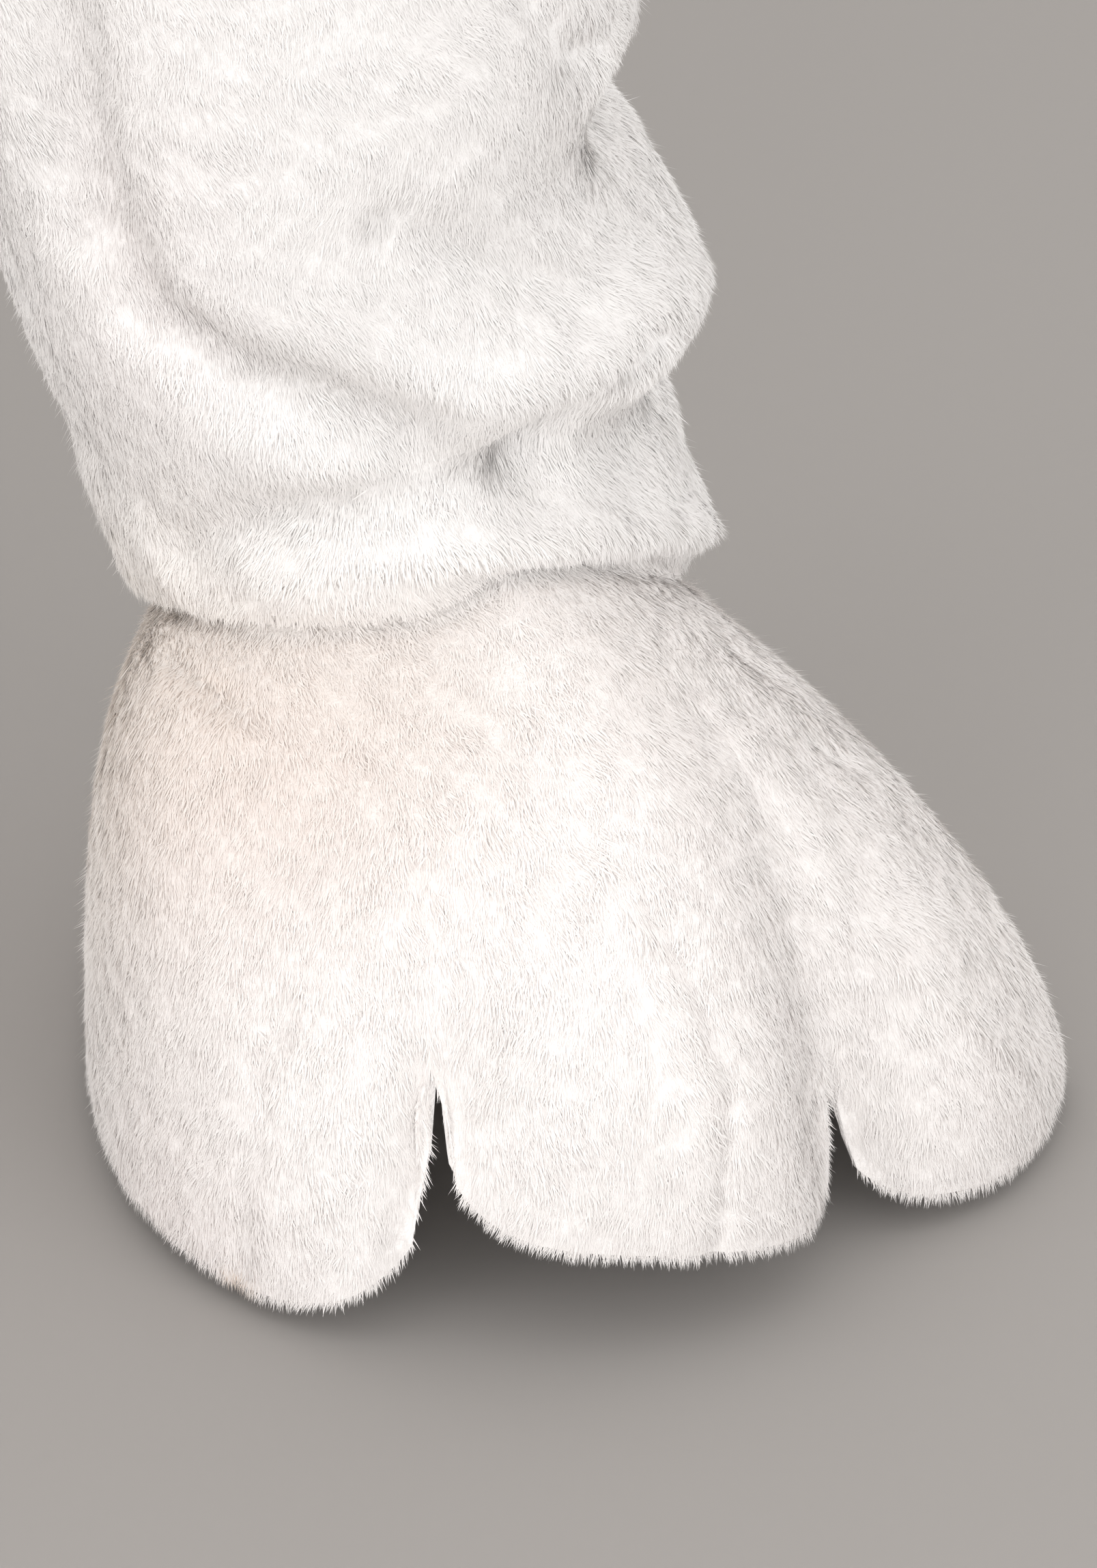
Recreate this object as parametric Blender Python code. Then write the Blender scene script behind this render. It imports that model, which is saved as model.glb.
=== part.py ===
"""Rabbit mascot costume in a standing, worn pose: suit, head, mitts, foot covers and tail, all hollow.

The shaping functions work in millimetres: x to the wearer's left, y to the back, height above the floor.
place() turns those into metres about the neck base, where the wearer's shoulders carry the costume.
Each piece of cloth is a wall laid on a surface function, so neighbours share their seam lines."""

import math

import bmesh
import bpy
import numpy as np
from mathutils import Matrix, Vector

SHOULDER_HEIGHT = 1430.0  # of the origin above the floor
PLUSH = 8.0  # backing and laid pile together
SHELL = 12.0  # plush over the stiff head
GAP = 0.3  # between neighbouring pieces
NEST = 1.9  # clearance of a tube that sits inside another, less where its facets come closer
HALF_TURN = 180.0

ANKLE_X = 280.0  # each ankle's axis from the middle
TOE_OUT = 20.0  # degrees that a foot turns out
INSEAM_LOW = -64.0  # where the inseam lies on the shin; at the crotch it is at -90
CROTCH, HIP, WAIST = 740.0, 900.0, 1000.0
CALF = 352.0  # above this height the rows of the trouser leg are level


def table(columns, *rows):
    """Rows of numbers as named columns."""
    return dict(zip(columns.split(), np.array(rows, dtype=float).T))


def curve(at, rows, column, key):
    """A smooth curve through one column of a table, read against the key column."""
    xs, ys = rows[key], rows[column]
    slopes = np.gradient(ys, xs)
    at = np.clip(np.asarray(at, dtype=float), xs[0], xs[-1])
    i = np.clip(np.searchsorted(xs, at) - 1, 0, len(xs) - 2)
    step = xs[i + 1] - xs[i]
    t = (at - xs[i]) / step
    start = (1 + 2 * t) * (1 - t) ** 2 * ys[i] + t * (1 - t) ** 2 * step * slopes[i]
    end = t**2 * (3 - 2 * t) * ys[i + 1] - t**2 * (1 - t) * step * slopes[i + 1]
    return start + end


def turn(angle):
    """The same direction as an angle between -180 and 180 degrees."""
    return (np.asarray(angle, dtype=float) + HALF_TURN) % (2 * HALF_TURN) - HALF_TURN


def sin(degrees):
    return np.sin(np.radians(degrees))


def cos(degrees):
    return np.cos(np.radians(degrees))


# ---------------------------------------------------------------------------------------------------
# Trousers and bodice
# ---------------------------------------------------------------------------------------------------

TORSO = table(
    "height side front back",
    (HIP, 262, 185, 196),
    (950, 250, 180, 182),
    (WAIST, 238, 174, 168),
    (1100, 230, 168, 158),
    (1200, 226, 162, 154),
    (1290, 226, 158, 154),
    (1360, 222, 148, 146),
    (1402, 196, 120, 122),
    (1432, 148, 100, 104),
    (1456, 100, 84, 86),
    (1490, 88, 78, 78),
)

# Inner and outer side of the left leg from the ankle's axis, and how far it reaches to the front and back.
LEG = table(
    "height inner outer front back",
    (120, -84, 84, 84, 82),
    (150, -95, 92, 92, 90),
    (165, -101, 93, 95, 91),
    (190, -109, 86, 99, 93),
    (215, -115, 86, 100, 94),
    (245, -127, 89, 106, 98),
    (272, -136, 85, 111, 101),
    (296, -142, 73, 114, 104),
    (322, -150, 65, 116, 106),
    (352, -159, 71, 118, 108),
    (450, -190, 50, 122, 116),
    (600, -236, 18, 134, 132),
    (740, -280, -4, 150, 152),
)

# Lower edge of the trouser leg round the ankle: 0 is the front, 90 the outer side.
HEM = table(
    "angle height",
    (-180, 127),
    (-130, 132),
    (-85, 147),
    (-53, 169),
    (-27, 180),
    (0, 188),
    (12, 192),
    (24, 201),
    (45, 194),
    (70, 168),
    (90, 147),
    (130, 130),
    (180, 127),
)

# The largest folds: how deep and how wide, and the line they follow as (angle, height).
LEG_FOLDS = (
    ("drag line over the shin", 13, 16, ((-28, 420), (-33, 350), (-30, 297), (-16, 275), (10, 255))),
    ("hollow above the hem", 11, 12, ((-39, 198), (-15, 220), (10, 232), (36, 234))),
    ("pocket at the outer ankle", 13, 15, ((36, 236), (58, 222), (90, 219), (112, 226))),
    ("notch at the outer calf", 14, 12, ((76, 329), (90, 323), (110, 318))),
    ("bulge over the pocket", -6, 18, ((20, 268), (50, 266), (85, 262))),
    ("roll at the hem", -4, 11, ((-20, 198), (20, 213), (60, 190), (88, 166))),
    ("drag line behind the calf", 12, 18, ((215, 420), (190, 330), (165, 285))),
    ("hollow behind the ankle", 12, 13, ((150, 215), (185, 205), (225, 200))),
    ("fold at the inner calf", 8, 14, ((-120, 330), (-100, 285), (-84, 262))),
    ("drag line at the knee", 10, 22, ((-70, 640), (-25, 560), (15, 520))),
    ("fold behind the knee", 12, 20, ((130, 575), (180, 540), (225, 560))),
)


def fold_depth(angle, height, folds, radius):
    """How far the cloth dips, from the distance to each fold's line on the unrolled leg."""
    around = math.pi * radius / HALF_TURN
    dip = np.zeros(np.broadcast(angle, height).shape)
    for _name, depth, width, path in folds:
        away = np.full(dip.shape, 1e9)
        for (a0, h0), (a1, h1) in zip(path, path[1:]):
            here = turn(angle - a0) * around
            up = height - h0
            run, rise = (a1 - a0) * around, h1 - h0
            along = np.clip((here * run + up * rise) / (run**2 + rise**2), 0, 1)
            away = np.minimum(away, np.hypot(here - along * run, up - along * rise))
        dip = dip + depth * np.exp(-((away / width) ** 2))
    return dip


def torso_point(angle, height):
    """A place on the trunk: angle 0 is the front, 90 the wearer's left."""
    angle, height = np.broadcast_arrays(angle, height)
    side = curve(height, TORSO, "side", "height")
    depth = np.where(
        cos(angle) > 0, curve(height, TORSO, "front", "height"), curve(height, TORSO, "back", "height")
    )
    return np.stack([side * sin(angle), -depth * cos(angle), height], axis=-1)


def leg_point(angle, height):
    """A place on the left trouser leg below the crotch."""
    angle, height = np.broadcast_arrays(angle, height)
    inner = curve(height, LEG, "inner", "height")
    outer = curve(height, LEG, "outer", "height")
    depth = np.where(
        cos(angle) > 0, curve(height, LEG, "front", "height"), curve(height, LEG, "back", "height")
    )
    dip = fold_depth(angle, height, LEG_FOLDS, (outer - inner) / 2)
    x = ANKLE_X + (inner + outer) / 2 + ((outer - inner) / 2 - dip) * sin(angle)
    return np.stack([x + GAP / 2, -(depth - dip) * cos(angle), height], axis=-1)


def trouser_surface(across, up):
    """The left trouser half. across runs 0 to 1 over the front panel and 1 to 2 over the back one;
    up runs hem 0, calf 1, crotch 2, hip 3, waist 4."""
    across, up = np.broadcast_arrays(across, up)
    level = np.clip((up - 1), 0, 1)
    inseam = INSEAM_LOW + (-90 - INSEAM_LOW) * level**1.5
    front = inseam + across * (90 - inseam)
    back = 90 + (across - 1) * (270 + inseam)
    angle = np.where(across < 1, front, back)
    hem = curve(turn(angle), HEM, "height", "angle")
    low = hem + np.clip(up, 0, 1) * (CALF - hem)
    height = np.where(up < 1, low, CALF + level * (CROTCH - CALF))
    leg = leg_point(angle, height)
    bend = np.clip(up - 2, 0, 1) * 90
    share = sin(bend)[..., None]
    rise = np.where(up > 3, HIP + (up - 3) * (WAIST - HIP), HIP)
    hip = torso_point(across * 90, rise)
    mixed = leg * (1 - share) + hip * share
    mixed[..., 2] = np.where(up > 2, CROTCH + (rise - CROTCH) * (1 - cos(bend)), mixed[..., 2])
    mixed[..., 0] += GAP / 2 * share[..., 0]
    return mixed


def torso_surface(across, up):
    """The bodice: across is the angle, up the height."""
    return torso_point(across, up)


# ---------------------------------------------------------------------------------------------------
# Foot covers
# ---------------------------------------------------------------------------------------------------

FOOT_MIDDLE = 70.0  # of the sole, in front of the ankle
TUCK = 10.0  # how far the ankle tube goes up into the trouser leg
ANKLE_NEST = 2.3  # its clearance there
BELOW_HEM = 3.0  # where the foot cover starts, under the trouser hem
SINK_BACK, SINK_DOWN = 0.85, 0.5  # which way a slit's valley goes into the foot
VALLEY_FROM, VALLEY_FADE = 0.3, 0.5  # how far down the foot a valley starts and grows

# Round the foot from its middle: 0 is straight ahead, 90 the outer side. reach is to the lower edge,
# slope is how steeply the cloth leaves the ankle, and near and far how long it keeps its direction there.
SOLE = table(
    "angle reach edge slope near far",
    (-180, 165, 4, 80, 40, 52),
    (-158, 162, 4, 70, 40, 54),
    (-126, 135, 4, 14, 56, 70),
    (-94, 131, 4, -2, 70, 84),
    (-69, 142, 5, 8, 68, 94),
    (-43, 154, 5, 20, 64, 98),
    (-13, 157, 29, 17, 72, 108),
    (13, 161, 21, 17, 72, 106),
    (29, 157, 8, 17, 70, 92),
    (40, 164, 5, 16, 67, 84),
    (47, 172, 5, 17, 64, 78),
    (54, 176, 5, 17, 59, 70),
    (62, 178, 6, 17, 54, 62),
    (69, 178, 6, 17, 50, 58),
    (78, 163, 6, 16, 47, 58),
    (92, 136, 6, 16, 49, 60),
    (116, 128, 5, 40, 44, 60),
    (140, 143, 4, 60, 40, 54),
    (160, 160, 4, 72, 40, 52),
    (180, 165, 4, 80, 40, 52),
)

# The slits that part the toes: where each ends at the lower edge, how far its valley swings outwards as
# it runs up over the foot and how deep it is, how long the slit is open and how wide its mouth, and how
# much the toes before and after it are rounded off.
SLITS = table(
    "angle swing valley length mouth before after",
    (-25.8, 32, 15, 32, 6, 17, 32),
    (28, 5, 16, 18, 5, 20, 22),
)
VALLEY_WIDTH = 7.5  # degrees
ROUNDING_WIDTH = 15.0  # how far from a slit the lower edge is rounded off
COLUMN_LENGTH = 185.0  # of the cloth from the ankle over a toe


def slit_columns(*names):
    """The named columns of the slits' table, slit by slit."""
    return zip(*(SLITS[name] for name in names))


def foot_frame(forward, outward, height):
    """From along and across the left foot to the costume's own directions."""
    x = ANKLE_X + forward * sin(TOE_OUT) + outward * cos(TOE_OUT)
    y = -(forward * cos(TOE_OUT) - outward * sin(TOE_OUT))
    return np.stack(np.broadcast_arrays(x, y, height), axis=-1)


def ankle_ring(angle, above_hem):
    """A ring inside the trouser leg, clear of its wall, at the foot's angles."""
    around = turn(angle + TOE_OUT)
    height = curve(around, HEM, "height", "angle") + above_hem
    place_on_leg = leg_point(around, height)
    ahead = leg_point(around + 1, height) - leg_point(around - 1, height)
    outwards = np.stack([-ahead[..., 1], ahead[..., 0], 0 * height], axis=-1)
    outwards /= -np.linalg.norm(outwards, axis=-1, keepdims=True)
    return place_on_leg - outwards * (PLUSH + ANKLE_NEST), outwards


def foot_surface(across, up):
    """The left foot cover: across is the angle, up runs 0 at the lower edge, 1 at the trouser hem and
    1 to 2 up inside the leg."""
    across, up = np.broadcast_arrays(across, up)
    angle = turn(across)
    reach = curve(angle, SOLE, "reach", "angle")
    edge = curve(angle, SOLE, "edge", "angle")
    slope = curve(angle, SOLE, "slope", "angle")
    near = curve(angle, SOLE, "near", "angle")
    far = curve(angle, SOLE, "far", "angle")
    cut = np.zeros(angle.shape)
    for slit, length, mouth, before, after in slit_columns("angle", "length", "mouth", "before", "after"):
        beside = (angle - slit) * math.pi / HALF_TURN * reach
        cut += length * np.clip(1 - np.abs(beside) / mouth, 0, 1)
        cut += np.where(beside < 0, before, after) * np.exp(-np.abs(beside) / ROUNDING_WIDTH)
    down = 1 - np.clip(up, 0, 1)
    t = down * (1 - cut / COLUMN_LENGTH)
    top, _outwards = ankle_ring(angle, -BELOW_HEM)
    bottom = foot_frame(FOOT_MIDDLE + reach * cos(angle), reach * sin(angle), edge)
    away = bottom - top
    away[..., 2] = 0
    away /= np.linalg.norm(away, axis=-1, keepdims=True)
    up_axis = np.array([0.0, 0.0, 1.0])
    leave = top + near[..., None] * (away * cos(slope)[..., None] - up_axis * sin(slope)[..., None])
    arrive = bottom + far[..., None] * up_axis
    s = t[..., None]
    place_on_foot = (
        (1 - s) ** 3 * top + 3 * s * (1 - s) ** 2 * leave + 3 * s**2 * (1 - s) * arrive + s**3 * bottom
    )
    sink = np.zeros(angle.shape)
    for slit, swing, valley in slit_columns("angle", "swing", "valley"):
        line = slit + swing * (1 - t) ** 2
        width = VALLEY_WIDTH * (1 + 0.8 * (1 - t))
        fading = np.clip((t - VALLEY_FROM) / VALLEY_FADE, 0, 1) ** 1.5
        sink += valley * fading * np.exp(-(((angle - line) / width) ** 2))
    place_on_foot = place_on_foot - sink[..., None] * (SINK_BACK * away + SINK_DOWN * up_axis)
    tube, _outwards = ankle_ring(angle, -BELOW_HEM + np.clip(up - 1, 0, 1) * (TUCK + BELOW_HEM))
    return np.where((up > 1)[..., None], tube, place_on_foot)


# ---------------------------------------------------------------------------------------------------
# Sleeves and mitts
# ---------------------------------------------------------------------------------------------------

# Middle line of the left sleeve and mitt from inside the shoulder to the fingertips, and half sizes.
ARM = table(
    "along x y height up front",
    (0, 100, 2, 1345, 80, 82),
    (90, 174, 4, 1294, 84, 84),
    (180, 246, 4, 1239, 83, 83),
    (290, 326, 0, 1163, 80, 80),
    (380, 386, -10, 1096, 79, 78),
    (470, 440, -30, 1024, 76, 75),
    (560, 490, -54, 950, 72, 71),
    (610, 515, -67, 907, 70, 69),
)
WRIST = 610.0
CUFF_TUCK = 35.0

# Half sizes of the mitt along the hand, from inside the cuff to the fingertips.
MITT = table(
    "along up front",
    (-CUFF_TUCK, 0, 0),
    (0, 0, 0),
    (14, 1, 2),
    (40, -2, 9),
    (80, -8, 13),
    (115, -13, 9),
    (150, -22, -3),
    (172, -34, -20),
    (186, -50, -42),
)
MITT_TIP = 192.0
THUMB_START, THUMB_LENGTH, THUMB_RADIUS = 52.0, 122.0, 27.0
THUMB_FORWARD, THUMB_ALONG = 0.80, 0.60  # its direction, to the front and along the hand
THUMB_FRONT, THUMB_DROP = 14.0, 6.0  # its root from the hand's middle line
THUMB_TAPER, THUMB_ROUND = 0.12, 0.25  # how much it narrows, and the share of its length that is rounded


def arm_line(along):
    """Middle of the arm, the way it runs, and the two directions across it."""
    place_on_line = np.stack([curve(along, ARM, name, "along") for name in ("x", "y", "height")], axis=-1)
    last = np.array([ARM[name][-1] - ARM[name][-2] for name in ("x", "y", "height")])
    last /= np.linalg.norm(last)
    beyond = np.clip(np.asarray(along) - WRIST, 0, None)[..., None]
    place_on_line = place_on_line + beyond * last
    ahead = np.stack(
        [
            curve(np.clip(along, 5, WRIST - 5) + 5, ARM, name, "along")
            - curve(np.clip(along, 5, WRIST - 5) - 5, ARM, name, "along")
            for name in ("x", "y", "height")
        ],
        axis=-1,
    )
    ahead = ahead / np.linalg.norm(ahead, axis=-1, keepdims=True)
    front = np.cross(np.broadcast_to([-1.0, 0, -1.0], ahead.shape), ahead)
    front = front / np.linalg.norm(front, axis=-1, keepdims=True)
    front = np.where(front[..., 1:2] > 0, -front, front)
    up = np.cross(ahead, front)
    up = np.where(up[..., 2:3] < 0, -up, up)
    return place_on_line, ahead, front, up


def sleeve_surface(across, up):
    """The left sleeve: across is the angle round the arm, up is how far along it."""
    across, up = np.broadcast_arrays(across, up)
    middle, _ahead, front, above = arm_line(up)
    tall = curve(up, ARM, "up", "along")
    deep = curve(up, ARM, "front", "along")
    return middle + (deep * cos(across))[..., None] * front + (tall * sin(across))[..., None] * above


def mitt_surface(across, up):
    """The left mitt: up is how far past the wrist; its cuff fits inside the sleeve."""
    across, up = np.broadcast_arrays(across, up)
    middle, _ahead, front, above = arm_line(WRIST + up)
    nested_up = ARM["up"][-1] - PLUSH - NEST
    nested_front = ARM["front"][-1] - PLUSH - NEST
    inside = np.clip(-up, 0, CUFF_TUCK)
    widening = curve(WRIST - inside, ARM, "up", "along") - ARM["up"][-1]
    close = np.where(up > MITT_TIP - 0.5, 0.0, 1.0)
    tall = (nested_up + widening + curve(up, MITT, "up", "along")) * close
    deep = (nested_front + widening + curve(up, MITT, "front", "along")) * close
    return middle + (deep * cos(across))[..., None] * front + (tall * sin(across))[..., None] * above


def thumb_surface(across, up):
    """The left thumb: a blunt tube that leaves the palm side of the mitt to the front."""
    across, up = np.broadcast_arrays(across, up)
    middle, ahead, front, above = arm_line(np.array(WRIST + THUMB_START))
    way = THUMB_FORWARD * front + THUMB_ALONG * ahead
    side = np.cross(way, above)
    beyond = np.clip((up - 1 + THUMB_ROUND) / THUMB_ROUND, 0, 1)
    radius = THUMB_RADIUS * (1 - THUMB_TAPER * up) * np.sqrt(1 - beyond**2)
    start = middle + THUMB_FRONT * front - THUMB_DROP * above
    return (
        start
        + (up * THUMB_LENGTH)[..., None] * way
        + (radius * cos(across))[..., None] * side
        + (radius * sin(across))[..., None] * above
    )


# ---------------------------------------------------------------------------------------------------
# Head, ears and tail
# ---------------------------------------------------------------------------------------------------

HEAD = table(
    "height side front back",
    (1432, 122, 112, 116),
    (1462, 128, 118, 122),
    (1490, 157, 149, 147),
    (1525, 187, 178, 169),
    (1575, 199, 187, 180),
    (1630, 200, 186, 184),
    (1690, 190, 176, 180),
    (1740, 164, 154, 160),
    (1780, 122, 116, 122),
    (1804, 74, 72, 76),
    (1814, 30, 30, 32),
)
HEAD_TOP = 1816.0
EAR_BASE, EAR_LEAN = (74.0, 6.0, 1745.0), 9.0  # where the left ear's middle line starts, and degrees outwards

# Half width and half thickness of an ear along its length.
EAR = table(
    "along side thick",
    (0, 40, 20),
    (50, 50, 20),
    (120, 58, 19),
    (190, 56, 18),
    (250, 44, 16),
    (290, 26, 13),
    (306, 10, 8),
)
EAR_TIP = 310.0
EAR_HOLLOW = 0.35  # how much flatter its front is than its back
LINING_THICK = 3.0
LINING_SPREAD = 62.0  # degrees either side of the ear's front that the lining covers
LINING_FROM, LINING_TO = 66.0, 276.0


def head_surface(across, up):
    """The head: across is the angle, up the height; it closes to a point on top."""
    across, up = np.broadcast_arrays(across, up)
    close = np.where(up > HEAD_TOP - 0.5, 0.0, 1.0)
    side = curve(up, HEAD, "side", "height") * close
    depth = close * np.where(
        cos(across) > 0, curve(up, HEAD, "front", "height"), curve(up, HEAD, "back", "height")
    )
    return np.stack([side * sin(across), -depth * cos(across), up], axis=-1)


def ear_surface(across, up):
    """The left ear: a leaf with its front a little hollow."""
    across, up = np.broadcast_arrays(across, up)
    close = np.where(up > EAR_TIP - 0.5, 0.0, 1.0)
    side = curve(up, EAR, "side", "along") * close * sin(across)
    thick = curve(up, EAR, "thick", "along") * close
    front = -thick * cos(across) * np.where(cos(across) > 0, EAR_HOLLOW, 1.0)
    x = EAR_BASE[0] + up * sin(EAR_LEAN) + side * cos(EAR_LEAN)
    height = EAR_BASE[2] + up * cos(EAR_LEAN) - side * sin(EAR_LEAN)
    return np.stack([x, EAR_BASE[1] + front, height], axis=-1)


def lining_surface(across, up):
    """The pink front of the left ear: across -1 to 1 from edge to edge, laid on the ear's front."""
    return ear_surface(across * LINING_SPREAD, up)


# ---------------------------------------------------------------------------------------------------
# Turning surfaces into solids
# ---------------------------------------------------------------------------------------------------


def normals(surface, across, up, step_across, step_up):
    """Directions that face out of the surface at a grid of places."""
    da = surface(across + step_across, up) - surface(across - step_across, up)
    du = surface(across, up + step_up) - surface(across, up - step_up)
    found = np.cross(da, du)
    size = np.linalg.norm(found, axis=-1, keepdims=True)
    return found / np.maximum(size, 1e-9)


def grid_faces(rows, columns, closed, first):
    """Quads of a grid of points, numbered row by row from first."""
    faces = []
    for r in range(rows - 1):
        for c in range(columns - (0 if closed else 1)):
            d = (c + 1) % columns
            a = first + r * columns
            b = a + columns
            faces.append((a + c, a + d, b + d, b + c))
    return faces


def place(points, mirror):
    """Millimetres above the floor to metres about the shoulders, mirrored for the right-hand side."""
    points = np.array(points, dtype=float)
    points[..., 2] -= SHOULDER_HEIGHT
    if mirror:
        points[..., 0] *= -1
    return points * 0.001


def material(name, colour, roughness):
    made = bpy.data.materials.get(name)
    if made:
        return made
    made = bpy.data.materials.new(name)
    made.use_nodes = True
    shader = made.node_tree.nodes["Principled BSDF"]
    shader.inputs["Base Color"].default_value = (*colour, 1.0)
    shader.inputs["Roughness"].default_value = roughness
    return made


WHITE_PLUSH = ("white_plush", (0.84, 0.79, 0.76), 0.95)
PINK_PLUSH = ("pink_plush", (0.80, 0.52, 0.50), 0.95)
BLACK_PLASTIC = ("black_plastic", (0.012, 0.012, 0.014), 0.25)
PINK_VELVET = ("pink_velvet", (0.66, 0.30, 0.32), 0.8)


def body(name, points, faces, finish, cutter=False):
    """An object from points and faces, closed, facing outwards and shaded smooth."""
    mesh = bpy.data.meshes.new(name)
    bm = bmesh.new()
    corners = [bm.verts.new(p) for p in points]
    for face in faces:
        bm.faces.new([corners[i] for i in face])
    bmesh.ops.remove_doubles(bm, verts=bm.verts, dist=1e-7)
    bmesh.ops.dissolve_degenerate(bm, edges=bm.edges, dist=1e-7)
    bmesh.ops.triangulate(bm, faces=bm.faces)
    bmesh.ops.recalc_face_normals(bm, faces=bm.faces)
    bm.to_mesh(mesh)
    bm.free()
    made = bpy.data.objects.new(name, mesh)
    bpy.context.scene.collection.objects.link(made)
    if cutter:
        made.hide_render = True
        made.display_type = "WIRE"
        return made
    mesh.shade_smooth()
    mesh.set_sharp_from_angle(angle=math.radians(40))
    mesh.materials.append(material(*finish))
    return made


def wall(name, surface, across, up, thick, mirror=False, finish=WHITE_PLUSH, closed=False, **options):
    """A wall of cloth whose outer side lies on a surface.

    first_seam and last_seam leave half the gap beside that column; level_first and level_last keep that
    row's thickness horizontal; tip closes the last row to a point; middle gives places inside, where the
    surface alone doesn't tell which side is out; keep_side holds the inner face on that side of those
    places; shift and lift move the whole wall."""
    across, up = np.array(across, dtype=float), np.array(up, dtype=float)
    step_across = 1e-3 * (across[-1] - across[0])
    step_up = 1e-3 * (up[-1] - up[0])
    grid_across, grid_up = np.meshgrid(across, up)
    facing = normals(surface, grid_across, grid_up, abs(step_across), abs(step_up))
    if not closed:
        for column, way, seam in ((0, 1, "first_seam"), (-1, -1, "last_seam")):
            if options.get(seam):
                ahead = surface(grid_across[:, column] + way * step_across, grid_up[:, column])
                here = surface(grid_across[:, column], grid_up[:, column])
                pace = np.linalg.norm(ahead - here, axis=-1) / step_across
                grid_across[:, column] += way * GAP / 2 / np.maximum(pace, 1e-6)
    outer = surface(grid_across, grid_up)
    for row, key in ((0, "level_first"), (-1, "level_last")):
        if options.get(key):
            facing[row, :, 2] = 0
            facing[row] /= np.linalg.norm(facing[row], axis=-1, keepdims=True)
    inside = options.get("middle")
    if inside is None and np.sum(facing * (outer - outer.mean(axis=1, keepdims=True))) < 0:
        facing = -facing
    if inside is not None:
        outwards = np.einsum("rci,rci->rc", facing, outer - inside(grid_across, grid_up))
        facing[outwards < 0] *= -1
    if options.get("tip"):
        ahead = outer[-1, 0] - outer[-2].mean(axis=0)
        facing[-1] = ahead / np.linalg.norm(ahead)
    inner = outer - facing * thick
    if options.get("keep_side") is not None:
        side = np.array(options["keep_side"])
        short = np.einsum("rci,i->rc", inner - inside(grid_across, grid_up), side)
        inner = inner + np.clip(-short, 0, None)[..., None] * side
    lift = options.get("lift", 0.0)
    outer = outer + facing * lift
    inner = inner + facing * lift
    move = np.array(options.get("shift", (0.0, 0.0, 0.0)))
    points = np.concatenate([(outer + move).reshape(-1, 3), (inner + move).reshape(-1, 3)])
    rows, columns = outer.shape[:2]
    count = rows * columns
    faces = grid_faces(rows, columns, closed, 0)
    faces += [tuple(reversed(face)) for face in grid_faces(rows, columns, closed, count)]
    for row in (0, rows - 1):
        for c in range(columns - (0 if closed else 1)):
            a = row * columns + c
            b = row * columns + (c + 1) % columns
            faces.append((a, b, b + count, a + count))
    if not closed:
        for column in (0, columns - 1):
            for r in range(rows - 1):
                a = r * columns + column
                b = a + columns
                faces.append((a, b, b + count, a + count))
    return body(name, place(points, mirror), faces, finish)


def plug(name, surface, across, up, grow, mirror=False, finish=None):
    """A closed solid that fills a tube-like surface, grown or shrunk all over; a cutter without a finish."""
    across, up = np.array(across, dtype=float), np.array(up, dtype=float)
    grid_across, grid_up = np.meshgrid(across, up)
    points = surface(grid_across, grid_up)
    middle = points.mean(axis=1, keepdims=True)
    spread = points - middle
    size = np.linalg.norm(spread, axis=-1, keepdims=True)
    points = middle + spread * (1 + grow / np.maximum(size, 1.0))
    rows, columns = points.shape[:2]
    faces = grid_faces(rows, columns, True, 0)
    faces.append(tuple(range(columns)))
    faces.append(tuple(range((rows - 1) * columns, rows * columns)))
    return body(name, place(points.reshape(-1, 3), mirror), faces, finish, cutter=finish is None)


def trim(made, cutter):
    """Cuts a piece with another solid."""
    cut = made.modifiers.new("trim_" + cutter.name, "BOOLEAN")
    cut.operation = "DIFFERENCE"
    cut.solver = "EXACT"
    cut.object = cutter


def ball(name, shape, finish, mirror=False, grow=0.0):
    """A smooth oval body: a cutter that is grown a little where there is no finish."""
    centre, half_sizes, segments, rings = shape
    bm = bmesh.new()
    bmesh.ops.create_uvsphere(bm, u_segments=segments, v_segments=rings, radius=1.0)
    size = Matrix.Diagonal((*((np.array(half_sizes) + grow) * 0.001), 1.0))
    spot = Matrix.Translation(Vector(place(np.array([centre]), mirror)[0]))
    bmesh.ops.transform(bm, matrix=spot @ size, verts=bm.verts)
    mesh = bpy.data.meshes.new(name)
    bm.to_mesh(mesh)
    bm.free()
    made = bpy.data.objects.new(name, mesh)
    bpy.context.scene.collection.objects.link(made)
    if finish is None:
        made.hide_render = True
        made.display_type = "WIRE"
        return made
    mesh.shade_smooth()
    mesh.materials.append(material(*finish))
    return made


# ---------------------------------------------------------------------------------------------------
# The pieces
# ---------------------------------------------------------------------------------------------------

SIDES = (("left", False), ("right", True))
RING = np.arange(16) * 22.5


def spread(*stops):
    """Values from one stop to the next, each stop being (value, steps to the next)."""
    values = []
    for (start, steps), (end, _) in zip(stops, stops[1:]):
        values += [start + (end - start) * k / steps for k in range(steps)]
    return np.array(values + [stops[-1][0]])


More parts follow.
